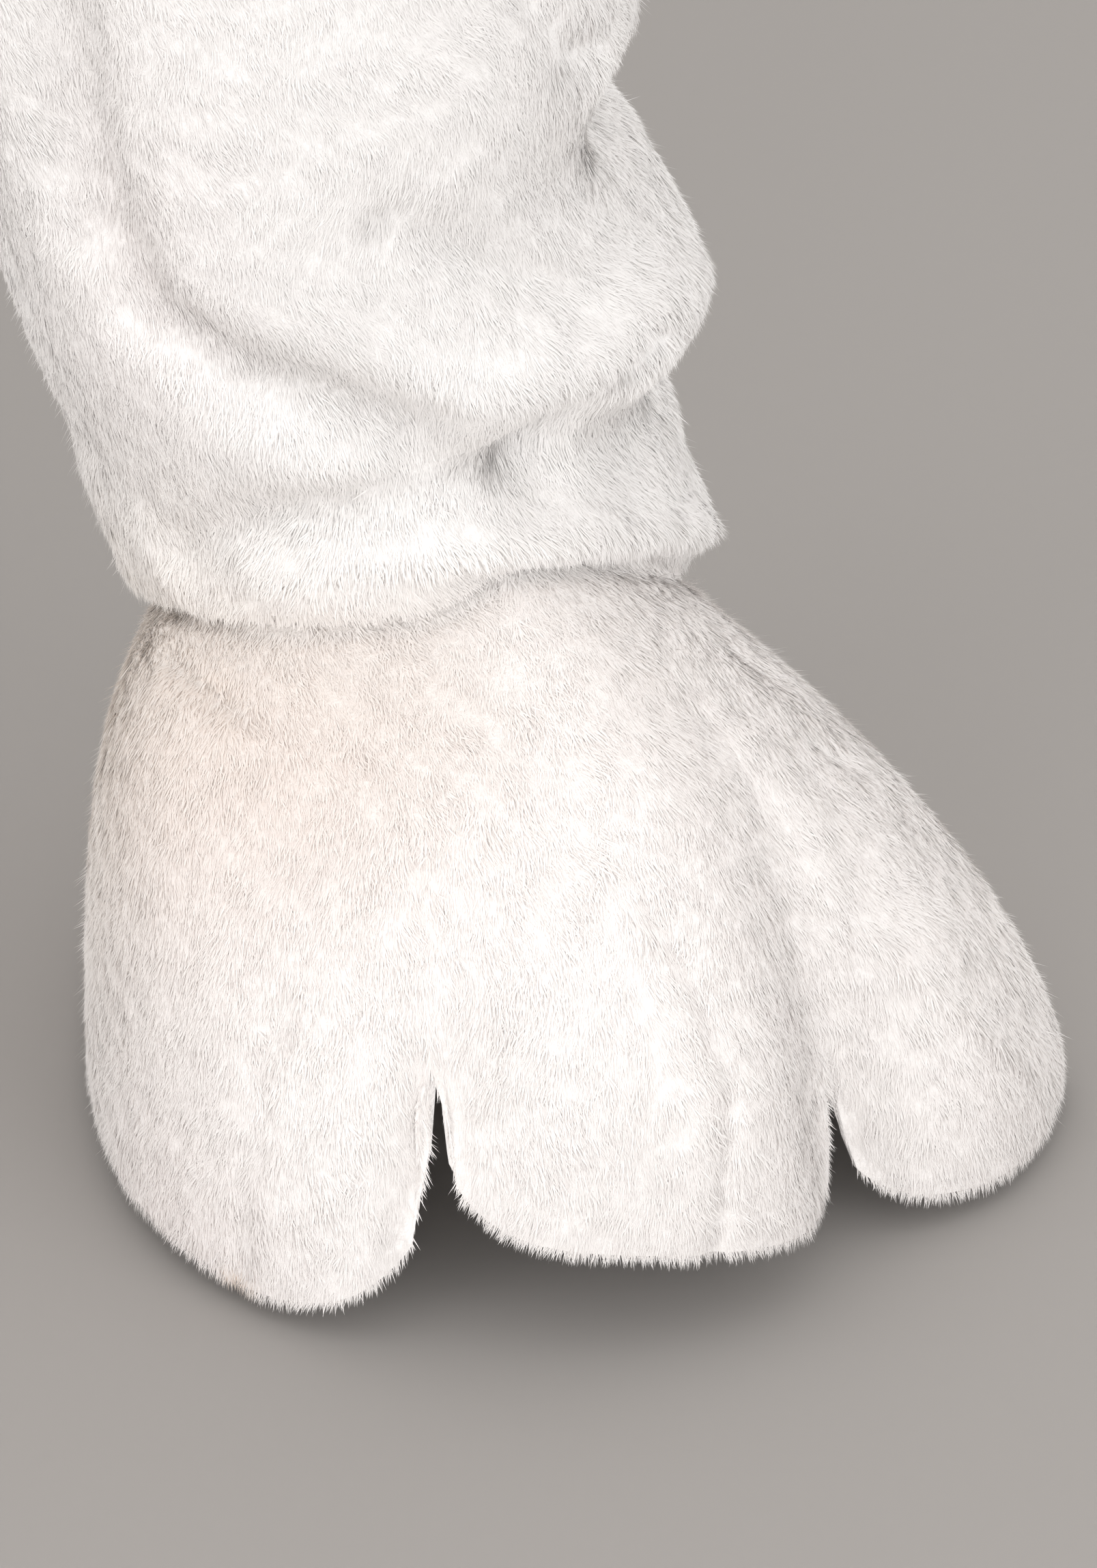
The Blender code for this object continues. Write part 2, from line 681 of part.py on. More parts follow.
THUMB_ROWS = np.array([0.05, 0.25, 0.5, 0.72, 0.86, 0.95, 1.0])
THUMB_HOLE_ROWS = spread((0, 3), (0.6, 0))
MITT_ROWS = np.array([-CUFF_TUCK, 2, 30, 65, 100, 132, 158, 176, 187, MITT_TIP])
SLEEVE_ROWS = spread((30, 7), (WRIST, 0))
ARM_HOLE_ROWS = spread((0, 3), (180, 0))
TROUSER_ROWS = spread((0, 12), (1, 5), (2, 5), (3, 2), (4, 0))
FRONT_COLUMNS, BACK_COLUMNS = spread((0, 13), (1, 0)), spread((1, 11), (2, 0))
FOOT_ROWS = np.array([0, 0.1, 0.2, 0.3, 0.4, 0.5, 0.6, 0.7, 0.8, 0.9, 1.0, 2.0])
EDGES = dict(first_seam=True, last_seam=True, level_first=True, level_last=True)
TRUNK_RING = spread((-180, 40), (180, 0))[:-1]  # the same columns as the bodice's
HEAD_RING = spread((0, 24), (360, 0))[:-1]


HIP_MIDDLE = 110.0  # half way out along the hips
SEAT_RISE = 60.0  # how much higher the middle lies, so that the crotch faces down


def leg_middle(across, up):
    """A place well inside the trousers for each place on them."""
    height = trouser_surface(across, up)[..., 2]
    axis = ANKLE_X + (curve(height, LEG, "inner", "height") + curve(height, LEG, "outer", "height")) / 2
    share = np.clip(up - 2.0, 0, 1)
    middle = np.zeros((*height.shape, 3))
    middle[..., 0] = axis * (1 - share) + HIP_MIDDLE * share
    middle[..., 2] = height + SEAT_RISE * share * (up < 3)
    return middle


def make_trousers():
    up = TROUSER_ROWS.copy()
    up[-1] -= GAP / 2 / (WAIST - HIP)
    for side, mirror in SIDES:
        for name, across in (("front", FRONT_COLUMNS), ("back", BACK_COLUMNS)):
            wall(
                f"trouser_{name}_{side}", trouser_surface, across, up, PLUSH, mirror,
                middle=leg_middle, **EDGES,
            )


def make_bodice():
    rise = np.concatenate([[WAIST + GAP / 2], TORSO["height"][3:]])
    panels = (
        ("bodice_front", spread((-90, 20), (90, 0))),
        ("bodice_back_left", spread((90, 10), (180, 0))),
        ("bodice_back_right", spread((180, 10), (270, 0))),
    )
    pieces = [wall(name, torso_surface, across, rise, PLUSH, **EDGES) for name, across in panels]
    for side, mirror in SIDES:
        arm_hole = plug(f"arm_hole_{side}", sleeve_surface, RING, ARM_HOLE_ROWS, -PLUSH, mirror)
        for piece in pieces:
            trim(piece, arm_hole)


def make_sleeves():
    trunk = plug("trunk", torso_surface, TRUNK_RING, np.concatenate([[WAIST], TORSO["height"][3:]]), GAP)
    for side, mirror in SIDES:
        sleeve = wall(f"sleeve_{side}", sleeve_surface, RING, SLEEVE_ROWS, PLUSH, mirror, closed=True)
        trim(sleeve, trunk)


def make_mitts():
    above = arm_line(np.array(WRIST))[3]
    for side, mirror in SIDES:
        thumb_hole = plug(f"thumb_hole_{side}", thumb_surface, RING[::2], THUMB_HOLE_ROWS, -PLUSH, mirror)
        hand = plug(f"hand_{side}", mitt_surface, RING, MITT_ROWS[:-1], GAP, mirror)
        for name, start, way in (("back", 0, 1), ("palm", 180, -1)):
            piece = wall(
                f"mitt_{name}_{side}", mitt_surface, start + RING[:9], MITT_ROWS, PLUSH, mirror,
                shift=tuple(above * way * GAP / 2), tip=True, first_seam=True, last_seam=True,
                middle=lambda across, up: arm_line(WRIST + up)[0], keep_side=above * way,
            )
            trim(piece, thumb_hole)
        thumb = wall(
            f"mitt_thumb_{side}", thumb_surface, RING[::2], THUMB_ROWS, PLUSH, mirror, closed=True, tip=True
        )
        trim(thumb, hand)


def make_feet():
    halves = (
        ("inner", (-180, -160, -140, -122, -105, -90, -76, -62, -50, -41, -33.5, -29.4, -27,
                   -24.6, -21.5, -17, -12, -6, 0)),
        ("outer", (0, 6, 12, 19, 25.5, 28.4, 31, 33.6, 37, 42, 47, 52, 58, 66, 78, 94, 112, 134, 157, 180)),
    )
    for side, mirror in SIDES:
        for name, across in halves:
            wall(f"foot_{name}_{side}", foot_surface, across, FOOT_ROWS, PLUSH, mirror, **EDGES)


# Oval pieces: centre, half sizes, segments and rings.
EYE = ((66, -168, 1658), (22, 18, 34), 14, 8)
MUZZLE = ((0, -166, 1578), (74, 52, 50), 20, 12)
NOSE = ((0, -214, 1604), (22, 14, 15), 12, 8)
TAIL = ((0, 224, 956), (58, 56, 52), 16, 10)


def make_head():
    up = np.concatenate([HEAD["height"], [HEAD_TOP]])
    ear_rows = np.concatenate([EAR["along"], [EAR_TIP - 1]])
    trunk = plug("collar", torso_surface, TRUNK_RING, TORSO["height"][3:], GAP)
    skull = plug("skull", head_surface, HEAD_RING, HEAD["height"], 2 * GAP)
    for side, mirror in SIDES:
        half = wall(
            f"head_{side}", head_surface, spread((0, 12), (180, 0)), up, SHELL, mirror,
            shift=(GAP / 2, 0, 0), tip=True,
        )
        trim(half, trunk)
        ear = plug(f"ear_{side}", ear_surface, RING, ear_rows, 0, mirror, WHITE_PLUSH)
        trim(ear, skull)
        lining = wall(
            f"ear_lining_{side}", lining_surface, spread((-1, 6), (1, 0)),
            spread((LINING_FROM, 5), (LINING_TO, 0)), LINING_THICK, mirror, PINK_PLUSH,
            lift=LINING_THICK + GAP,
        )
        trim(lining, skull)
        trim(ball(f"eye_{side}", EYE, BLACK_PLASTIC, mirror), skull)
    trim(ball("muzzle", MUZZLE, WHITE_PLUSH), skull)
    trim(ball("nose", NOSE, PINK_VELVET), ball("muzzle_clearance", MUZZLE, None, grow=GAP))


def make_tail():
    tail = ball("tail", TAIL, WHITE_PLUSH)
    seat = plug("seat", torso_surface, TRUNK_RING, np.array([HIP, 950, WAIST, 1100]), 3 * GAP)
    trim(tail, seat)


def main():
    for old in list(bpy.data.objects):
        bpy.data.objects.remove(old, do_unlink=True)
    make_trousers()
    make_bodice()
    make_sleeves()
    make_mitts()
    make_feet()
    make_head()
    make_tail()


main()
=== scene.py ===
"""The looks of the rabbit mascot costume: a thin backing inside every wall, and its plush pile as strands."""

import math

import bmesh
import bpy
import numpy as np
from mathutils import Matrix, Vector


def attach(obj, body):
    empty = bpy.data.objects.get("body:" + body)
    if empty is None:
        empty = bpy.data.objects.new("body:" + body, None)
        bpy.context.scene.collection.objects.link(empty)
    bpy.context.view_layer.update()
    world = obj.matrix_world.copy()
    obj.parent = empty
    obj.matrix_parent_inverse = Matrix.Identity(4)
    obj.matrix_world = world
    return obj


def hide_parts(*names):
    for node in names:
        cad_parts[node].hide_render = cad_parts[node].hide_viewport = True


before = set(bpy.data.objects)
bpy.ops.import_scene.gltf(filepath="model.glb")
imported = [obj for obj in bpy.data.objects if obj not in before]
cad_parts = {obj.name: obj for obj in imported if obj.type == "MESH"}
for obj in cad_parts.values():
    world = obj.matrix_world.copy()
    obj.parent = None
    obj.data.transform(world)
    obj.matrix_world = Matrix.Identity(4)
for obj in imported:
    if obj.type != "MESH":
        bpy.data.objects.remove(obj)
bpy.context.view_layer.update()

# Lengths are in millimetres and heights are over the floor, until metres() turns them into the frame's own.
SHOULDER_HEIGHT = 1430.0  # of the origin above the floor
MILLIMETRE = 0.001  # in metres
GAP = 0.3  # between neighbouring pieces
NEST = 1.9  # clearance of a tube that sits inside another
PLUSH = 8.0  # backing and laid pile together, as thick as the solids' walls
ROOT = 4.5  # how deep under the pile's surface the backing lies
BACKING = 2.0  # thickness of the backing
ANKLE_X = 280.0  # each ankle's axis from the middle
TOE_OUT = 20.0  # degrees that a foot turns out
INSEAM_LOW, INSEAM_EASE = -64.0, 1.5  # where the inseam lies on the shin, and how late it swings to -90
CROTCH, HIP, WAIST = 740.0, 900.0, 1000.0
CALF = 352.0  # above this height the rows of the trouser leg are level
SEED = 11


def table(columns, *rows):
    return dict(zip(columns.split(), np.array(rows, dtype=float).T))


def curve(at, rows, column):
    """A smooth curve through a table's column, over its first one."""
    xs, ys = next(iter(rows.values())), rows[column]
    slopes = np.gradient(ys, xs)
    at = np.clip(np.asarray(at, dtype=float), xs[0], xs[-1])
    i = np.clip(np.searchsorted(xs, at) - 1, 0, len(xs) - 2)
    step = xs[i + 1] - xs[i]
    t = (at - xs[i]) / step
    start = (1 + 2 * t) * (1 - t) ** 2 * ys[i] + t * (1 - t) ** 2 * step * slopes[i]
    end = t**2 * (3 - 2 * t) * ys[i + 1] - t**2 * (1 - t) * step * slopes[i + 1]
    return start + end


def turn(angle):
    return (np.asarray(angle, dtype=float) + 180) % 360 - 180


def sin(degrees):
    return np.sin(np.radians(degrees))


def cos(degrees):
    return np.cos(np.radians(degrees))


def unit(vectors):
    return vectors / np.maximum(np.linalg.norm(vectors, axis=-1, keepdims=True), 1e-9)


def smooth(low, high, value):
    t = np.clip((value - low) / (high - low), 0, 1)
    return t * t * (3 - 2 * t)


def metres(points, mirror=False):
    points = np.array(points, dtype=float)
    points[..., 2] -= SHOULDER_HEIGHT
    if mirror:
        points[..., 0] *= -1
    return points * MILLIMETRE


# ---- The forms, as in the solids ----

TORSO = table(
    "height side front back",
    (HIP, 262, 185, 196), (950, 250, 180, 182),
    (WAIST, 238, 174, 168), (1100, 230, 168, 158),
    (1200, 226, 162, 154), (1290, 226, 158, 154),
    (1360, 222, 148, 146), (1402, 196, 120, 122),
    (1432, 148, 100, 104), (1456, 100, 84, 86),
    (1490, 88, 78, 78),
)
# Inner and outer side of the left leg from the ankle's axis, and how far it reaches to the front and back.
LEG = table(
    "height inner outer front back",
    (120, -84, 84, 84, 82), (150, -95, 92, 92, 90),
    (165, -101, 93, 95, 91), (190, -109, 86, 99, 93),
    (215, -115, 86, 100, 94), (245, -127, 89, 106, 98),
    (272, -136, 85, 111, 101), (296, -142, 73, 114, 104),
    (322, -150, 65, 116, 106), (352, -159, 71, 118, 108),
    (450, -190, 50, 122, 116), (600, -236, 18, 134, 132),
    (740, -280, -4, 150, 152),
)
# Lower edge of the trouser leg round the ankle: 0 is the front, 90 the outer side.
HEM = table(
    "angle height",
    (-180, 127), (-130, 132),
    (-85, 147), (-53, 169),
    (-27, 180), (0, 188),
    (12, 192), (24, 201),
    (45, 194), (70, 168),
    (90, 147), (130, 130),
    (180, 127),
)
# The largest folds: how deep and how wide, and the line they follow as (angle, height).
LEG_FOLDS = (
    ("drag line over the shin", 13, 16, ((-28, 420), (-33, 350), (-30, 297), (-16, 275), (10, 255))),
    ("hollow above the hem", 11, 12, ((-39, 198), (-15, 220), (10, 232), (36, 234))),
    ("pocket at the outer ankle", 13, 15, ((36, 236), (58, 222), (90, 219), (112, 226))),
    ("notch at the outer calf", 14, 12, ((76, 329), (90, 323), (110, 318))),
    ("bulge over the pocket", -6, 18, ((20, 268), (50, 266), (85, 262))),
    ("roll at the hem", -4, 11, ((-20, 198), (20, 213), (60, 190), (88, 166))),
    ("drag line behind the calf", 12, 18, ((215, 420), (190, 330), (165, 285))),
    ("hollow behind the ankle", 12, 13, ((150, 215), (185, 205), (225, 200))),
    ("fold at the inner calf", 8, 14, ((-120, 330), (-100, 285), (-84, 262))),
    ("drag line at the knee", 10, 22, ((-70, 640), (-25, 560), (15, 520))),
    ("fold behind the knee", 12, 20, ((130, 575), (180, 540), (225, 560))),
)


def fold_depth(angle, height, folds, radius):
    around = math.pi * radius / 180
    dip = np.zeros(angle.shape)
    for _name, depth, width, path in folds:
        away = np.full(dip.shape, np.inf)
        for (a0, h0), (a1, h1) in zip(path, path[1:]):
            here = turn(angle - a0) * around
            up = height - h0
            run, rise = (a1 - a0) * around, h1 - h0
            along = np.clip((here * run + up * rise) / (run**2 + rise**2), 0, 1)
            away = np.minimum(away, np.hypot(here - along * run, up - along * rise))
        dip = dip + depth * np.exp(-((away / width) ** 2))
    return dip


def depth_of(rows, height, in_front):
    return np.where(in_front, curve(height, rows, "front"), curve(height, rows, "back"))


def oval(rows, angle, height):
    """A place on an upright oval form: angle 0 is the front, 90 the wearer's left."""
    side, depth = curve(height, rows, "side"), depth_of(rows, height, cos(angle) > 0)
    return np.stack([side * sin(angle), -depth * cos(angle), height], axis=-1)


def torso_surface(across, up):
    return oval(TORSO, across, up)


def leg_point(angle, height):
    inner, outer = curve(height, LEG, "inner"), curve(height, LEG, "outer")
    depth = depth_of(LEG, height, cos(angle) > 0)
    dip = fold_depth(angle, height, LEG_FOLDS, (outer - inner) / 2)
    x = ANKLE_X + (inner + outer) / 2 + ((outer - inner) / 2 - dip) * sin(angle)
    return np.stack([x + GAP / 2, -(depth - dip) * cos(angle), height], axis=-1)


def trouser_place(across, up):
    """Angle round the leg and height there of a place on the left trouser half. across runs 0 to 1 over the
    front panel and 1 to 2 over the back one; up runs hem 0, calf 1, crotch 2, hip 3, waist 4."""
    level = np.clip(up - 1, 0, 1)
    inseam = INSEAM_LOW + (-90 - INSEAM_LOW) * level**INSEAM_EASE
    front = inseam + across * (90 - inseam)
    back = 90 + (across - 1) * (270 + inseam)
    angle = np.where(across < 1, front, back)
    hem = curve(turn(angle), HEM, "height")
    low = hem + np.clip(up, 0, 1) * (CALF - hem)
    return angle, np.where(up < 1, low, CALF + level * (CROTCH - CALF))


def trouser_surface(across, up):
    angle, height = trouser_place(across, up)
    leg = leg_point(angle, height)
    bend = np.clip(up - 2, 0, 1) * 90
    share = sin(bend)[..., None]
    rise = np.where(up > 3, HIP + (up - 3) * (WAIST - HIP), HIP)
    hip = oval(TORSO, across * 90, rise)
    mixed = leg * (1 - share) + hip * share
    mixed[..., 2] = np.where(up > 2, CROTCH + (rise - CROTCH) * (1 - cos(bend)), mixed[..., 2])
    mixed[..., 0] += GAP / 2 * share[..., 0]
    return mixed


FOOT_MIDDLE = 70.0  # of the sole, in front of the ankle
TUCK = 10.0  # how far the ankle tube goes up into the trouser leg
ANKLE_NEST = 2.3  # its clearance there
BELOW_HEM = 3.0  # where the foot cover starts, under the trouser hem
SINK_BACK, SINK_DOWN = 0.85, 0.5  # which way a slit's valley goes into the foot
VALLEY_FROM, VALLEY_FADE, VALLEY_EASE = 0.3, 0.5, 1.5  # where a valley starts and how it grows
# Round the foot from its middle: 0 is straight ahead, 90 the outer side. reach is to the lower edge,
# slope is how steeply the cloth leaves the ankle, and near and far how long it keeps its direction there.
SOLE = table(
    "angle reach edge slope near far",
    (-180, 165, 4, 80, 40, 52), (-158, 162, 4, 70, 40, 54),
    (-126, 135, 4, 14, 56, 70), (-94, 131, 4, -2, 70, 84),
    (-69, 142, 5, 8, 68, 94), (-43, 154, 5, 20, 64, 98),
    (-13, 157, 29, 17, 72, 108), (13, 161, 21, 17, 72, 106),
    (29, 157, 8, 17, 70, 92), (40, 164, 5, 16, 67, 84),
    (47, 172, 5, 17, 64, 78), (54, 176, 5, 17, 59, 70),
    (62, 178, 6, 17, 54, 62), (69, 178, 6, 17, 50, 58),
    (78, 163, 6, 16, 47, 58), (92, 136, 6, 16, 49, 60),
    (116, 128, 5, 40, 44, 60), (140, 143, 4, 60, 40, 54),
    (160, 160, 4, 72, 40, 52), (180, 165, 4, 80, 40, 52),
)
# The slits that part the toes: the end at the lower edge, the valley's swing outwards and its depth, how
# long the slit is open and how wide its mouth, and how much the toes before and after it are rounded off.
SLITS = table(
    "angle swing valley length mouth before after",
    (-25.8, 32, 15, 32, 6, 17, 32),
    (28, 5, 16, 18, 5, 20, 22),
)
VALLEY_WIDTH, VALLEY_WIDENING = 7.5, 0.8  # degrees at the lower edge, and how much more at the ankle
ROUNDING_WIDTH = 15.0  # how far from a slit the lower edge is rounded off
COLUMN_LENGTH = 185.0  # of the cloth from the ankle over a toe


def slit_columns(*names):
    return zip(*(SLITS[name] for name in names))


def foot_frame(forward, outward, height):
    x = ANKLE_X + forward * sin(TOE_OUT) + outward * cos(TOE_OUT)
    y = -(forward * cos(TOE_OUT) - outward * sin(TOE_OUT))
    return np.stack([x, y, height], axis=-1)


def ankle_ring(angle, above_hem):
    around = turn(angle + TOE_OUT)
    height = curve(around, HEM, "height") + above_hem
    ahead = leg_point(around + 1, height) - leg_point(around - 1, height)
    outwards = np.stack([-ahead[..., 1], ahead[..., 0], 0 * height], axis=-1)
    return leg_point(around, height) + unit(outwards) * (PLUSH + ANKLE_NEST)


def foot_surface(across, up):
    """The left foot cover: across is the angle, up runs 0 at the lower edge, 1 at the trouser hem and
    1 to 2 up inside the leg."""
    angle = turn(across)
    reach, edge, slope, near, far = (
        curve(angle, SOLE, name) for name in ("reach", "edge", "slope", "near", "far")
    )
    cut = np.zeros(angle.shape)
    for slit, length, mouth, before, after in slit_columns("angle", "length", "mouth", "before", "after"):
        beside = (angle - slit) * math.pi / 180 * reach
        cut += length * np.clip(1 - np.abs(beside) / mouth, 0, 1)
        cut += np.where(beside < 0, before, after) * np.exp(-np.abs(beside) / ROUNDING_WIDTH)
    t = (1 - np.clip(up, 0, 1)) * (1 - cut / COLUMN_LENGTH)
    top = ankle_ring(angle, -BELOW_HEM)
    bottom = foot_frame(FOOT_MIDDLE + reach * cos(angle), reach * sin(angle), edge)
    away = bottom - top
    away[..., 2] = 0
    away = unit(away)
    up_axis = np.array([0.0, 0.0, 1.0])
    leave = top + near[..., None] * (away * cos(slope)[..., None] - up_axis * sin(slope)[..., None])
    arrive = bottom + far[..., None] * up_axis
    s = t[..., None]
    on_foot = (1 - s) ** 3 * top + 3 * s * (1 - s) ** 2 * leave + 3 * s**2 * (1 - s) * arrive + s**3 * bottom
    sink = np.zeros(angle.shape)
    for slit, swing, valley in slit_columns("angle", "swing", "valley"):
        line = slit + swing * (1 - t) ** 2
        width = VALLEY_WIDTH * (1 + VALLEY_WIDENING * (1 - t))
        fading = np.clip((t - VALLEY_FROM) / VALLEY_FADE, 0, 1) ** VALLEY_EASE
        sink += valley * fading * np.exp(-(((angle - line) / width) ** 2))
    on_foot = on_foot - sink[..., None] * (SINK_BACK * away + SINK_DOWN * up_axis)
    tube = ankle_ring(angle, -BELOW_HEM + np.clip(up - 1, 0, 1) * (TUCK + BELOW_HEM))
    return np.where((up > 1)[..., None], tube, on_foot)


# Middle line of the left sleeve and mitt from inside the shoulder to the fingertips, and half sizes.
ARM = table(
    "along x y height up front",
    (0, 100, 2, 1345, 80, 82), (90, 174, 4, 1294, 84, 84),
    (180, 246, 4, 1239, 83, 83), (290, 326, 0, 1163, 80, 80),
    (380, 386, -10, 1096, 79, 78), (470, 440, -30, 1024, 76, 75),
    (560, 490, -54, 950, 72, 71), (610, 515, -67, 907, 70, 69),
)
WRIST = 610.0
CUFF_TUCK = 35.0
ARM_STEP = 5.0  # to either side of a place, to find the way the arm runs there
# What is added to the wrist's half sizes along the hand, from inside the cuff to the fingertips.
MITT = table(
    "along up front",
    (-CUFF_TUCK, 0, 0), (0, 0, 0),
    (14, 1, 2), (40, -2, 9),
    (80, -8, 13), (115, -13, 9),
    (150, -22, -3), (172, -34, -20),
    (186, -50, -42),
)
MITT_TIP, MITT_CLOSE = 192.0, 6.0  # where the mitt ends, and the length over which it closes
THUMB_START, THUMB_LENGTH, THUMB_RADIUS = 52.0, 122.0, 27.0
THUMB_FORWARD, THUMB_ALONG = 0.80, 0.60  # its direction, to the front and along the hand
THUMB_FRONT, THUMB_DROP = 14.0, 6.0  # its root from the hand's middle line
THUMB_TAPER, THUMB_ROUND = 0.12, 0.25  # its narrowing, and the share that is rounded


def arm_line(along):
    """Middle of the arm, the way it runs, and the two directions across it."""
    along = np.asarray(along, dtype=float)
    names = ("x", "y", "height")
    middle = np.stack([curve(along, ARM, name) for name in names], axis=-1)
    last = unit(np.array([ARM[name][-1] - ARM[name][-2] for name in names]))
    middle = middle + np.clip(along - WRIST, 0, None)[..., None] * last
    at = np.clip(along, ARM_STEP, WRIST - ARM_STEP)
    before, after = ([curve(at + way, ARM, name) for name in names] for way in (-ARM_STEP, ARM_STEP))
    ahead = unit(np.stack(after, axis=-1) - np.stack(before, axis=-1))
    front = unit(np.cross(np.broadcast_to([-1.0, 0, -1.0], ahead.shape), ahead))
    front = np.where(front[..., 1:2] > 0, -front, front)
    above = np.cross(ahead, front)
    return middle, ahead, front, np.where(above[..., 2:3] < 0, -above, above)


def tube_place(frames, tall, deep, across):
    middle, _ahead, front, above = frames
    return middle + (deep * cos(across))[..., None] * front + (tall * sin(across))[..., None] * above


def arm_sizes(along):
    return curve(along, ARM, "up"), curve(along, ARM, "front")


def sleeve_surface(across, up):
    return tube_place(arm_line(up), *arm_sizes(up), across)


def mitt_sizes(up):
    inside = np.clip(-up, 0, CUFF_TUCK)
    widening = curve(WRIST - inside, ARM, "up") - ARM["up"][-1] - PLUSH - NEST
    close = np.sqrt(np.clip((MITT_TIP - up) / MITT_CLOSE, 0, 1))
    tall = ARM["up"][-1] + widening + curve(up, MITT, "up")
    deep = ARM["front"][-1] + widening + curve(up, MITT, "front")
    return tall * close, deep * close


def mitt_surface(across, up):
    return tube_place(arm_line(WRIST + up), *mitt_sizes(up), across)


def thumb_frame():
    middle, ahead, front, above = arm_line(np.array(WRIST + THUMB_START))
    way = THUMB_FORWARD * front + THUMB_ALONG * ahead
    return middle + THUMB_FRONT * front - THUMB_DROP * above, way, np.cross(way, above), above


def thumb_surface(across, up):
    start, way, side, above = thumb_frame()
    beyond = np.clip((up - 1 + THUMB_ROUND) / THUMB_ROUND, 0, 1)
    radius = THUMB_RADIUS * (1 - THUMB_TAPER * up) * np.sqrt(1 - beyond**2)
    middle = start + (up * THUMB_LENGTH)[..., None] * way
    return middle + (radius * cos(across))[..., None] * side + (radius * sin(across))[..., None] * above


HEAD = table(
    "height side front back",
    (1432, 122, 112, 116), (1462, 128, 118, 122),
    (1490, 157, 149, 147), (1525, 187, 178, 169),
    (1575, 199, 187, 180), (1630, 200, 186, 184),
    (1690, 190, 176, 180), (1740, 164, 154, 160),
    (1780, 122, 116, 122), (1804, 74, 72, 76),
    (1814, 30, 30, 32),
)
HEAD_TOP, HEAD_CLOSE = 1816.0, 2.0  # the crown, and the height over which it closes
EAR_BASE, EAR_LEAN = (74.0, 6.0, 1745.0), 9.0  # where the left ear's middle line starts, and degrees out
# Half width and half thickness of an ear along its length.
EAR = table(
    "along side thick",
    (0, 40, 20), (50, 50, 20),
    (120, 58, 19), (190, 56, 18),
    (250, 44, 16), (290, 26, 13),
    (306, 10, 8),
)
EAR_TIP, EAR_CLOSE = 310.0, 4.0  # where an ear ends, and the length over which it closes
EAR_HOLLOW = 0.35  # how much flatter its front is than its back
LINING_SPREAD = 62.0  # degrees either side of the ear's front that the lining covers
LINING_FROM, LINING_TO = 66.0, 276.0
LINING_PROUD = 3.3  # how far it stands in front of the ear
LINING_ROUND = 44.0  # length of its round top end; the lower one is half as long


def head_surface(across, up):
    close = np.sqrt(np.clip((HEAD_TOP - up) / HEAD_CLOSE, 0, 1))[..., None]
    return oval(HEAD, across, up) * np.concatenate([close, close, np.ones(close.shape)], axis=-1)


def ear_surface(across, up):
    close = np.sqrt(np.clip((EAR_TIP - up) / EAR_CLOSE, 0, 1))
    side = curve(up, EAR, "side") * close * sin(across)
    thick = curve(up, EAR, "thick") * close
    front = -thick * cos(across) * np.where(cos(across) > 0, EAR_HOLLOW, 1.0)
    x = EAR_BASE[0] + up * sin(EAR_LEAN) + side * cos(EAR_LEAN)
    height = EAR_BASE[2] + up * cos(EAR_LEAN) - side * sin(EAR_LEAN)
    return np.stack([x, EAR_BASE[1] + front, height], axis=-1)


def lining_surface(across, up):
    return ear_surface(across * LINING_SPREAD, up) - (0.0, LINING_PROUD, 0.0)


def past_round_end(points):
    """Whether places on an ear's lining lie outside its rounded ends."""
    out, rise = np.abs(points[:, 0]) - EAR_BASE[0], points[:, 2] - EAR_BASE[2]
    along = out * sin(EAR_LEAN) + rise * cos(EAR_LEAN)
    side = out * cos(EAR_LEAN) - rise * sin(EAR_LEAN)
    end = np.maximum(along - (LINING_TO - LINING_ROUND), LINING_FROM + LINING_ROUND / 2 - along).clip(0)
    reach = np.where(along > EAR_TIP / 2, LINING_ROUND, LINING_ROUND / 2)
    half = curve(along, EAR, "side") * sin(LINING_SPREAD)
    return (end / reach) ** 2 + (side / half) ** 2 * (end > 0) > 1


def ball_surface(centre, half_sizes):
    """An oval body whose rows run from its front end to its back one, as up runs -90 to 90."""

    def surface(across, up):
        parts = np.stack([cos(up) * sin(across), sin(up), cos(up) * cos(across)], axis=-1)
        return centre + half_sizes * parts

    return surface


# ---- Which places lie inside another piece ----

TUCKED = 7.0  # how far a sewn edge runs on inside its neighbour
TUCKED_THUMB = 5.0
COLLAR = 3.0  # how far the head's lower edge may lie inside the suit's neck
BELOW_OVAL = 5.0  # under an oval's first row that still counts as inside
TUBE_REACH = 20.0  # along a tube from the nearest place on its middle line
TUBE_STOPS = 61  # places on that line
THUMB_SHARE = 0.9  # of the thumb's length that counts


def inside_oval(rows, shrink):
    """The test for places inside an upright oval form that is smaller all round by shrink."""

    def test(points):
        height = points[..., 2]
        side = curve(height, rows, "side") - shrink
        depth = depth_of(rows, height, points[..., 1] < 0) - shrink
        within = (points[..., 0] / side) ** 2 + (points[..., 1] / depth) ** 2 < 1
        return within & (height > rows["height"][0] - BELOW_OVAL) & (height < rows["height"][-1])

    return test


def inside_tube(frames, sizes, shrink):
    middles, aheads, fronts, aboves = frames
    tall, deep = sizes

    def test(points):
        flat = points.reshape(-1, 3)
        nearest = np.argmin(np.linalg.norm(flat[:, None] - middles[None], axis=-1), axis=1)
        off = flat - middles[nearest]
        u = np.einsum("ij,ij->i", off, aboves[nearest]) / (tall[nearest] - shrink)
        v = np.einsum("ij,ij->i", off, fronts[nearest]) / (deep[nearest] - shrink)
        w = np.einsum("ij,ij->i", off, aheads[nearest])
        return ((u**2 + v**2 < 1) & (np.abs(w) < TUBE_REACH)).reshape(points.shape[:-1])

    return test


def inside_sleeve(shrink):
    alongs = np.linspace(0, 300, TUBE_STOPS)
    return inside_tube(arm_line(alongs), arm_sizes(alongs), shrink)


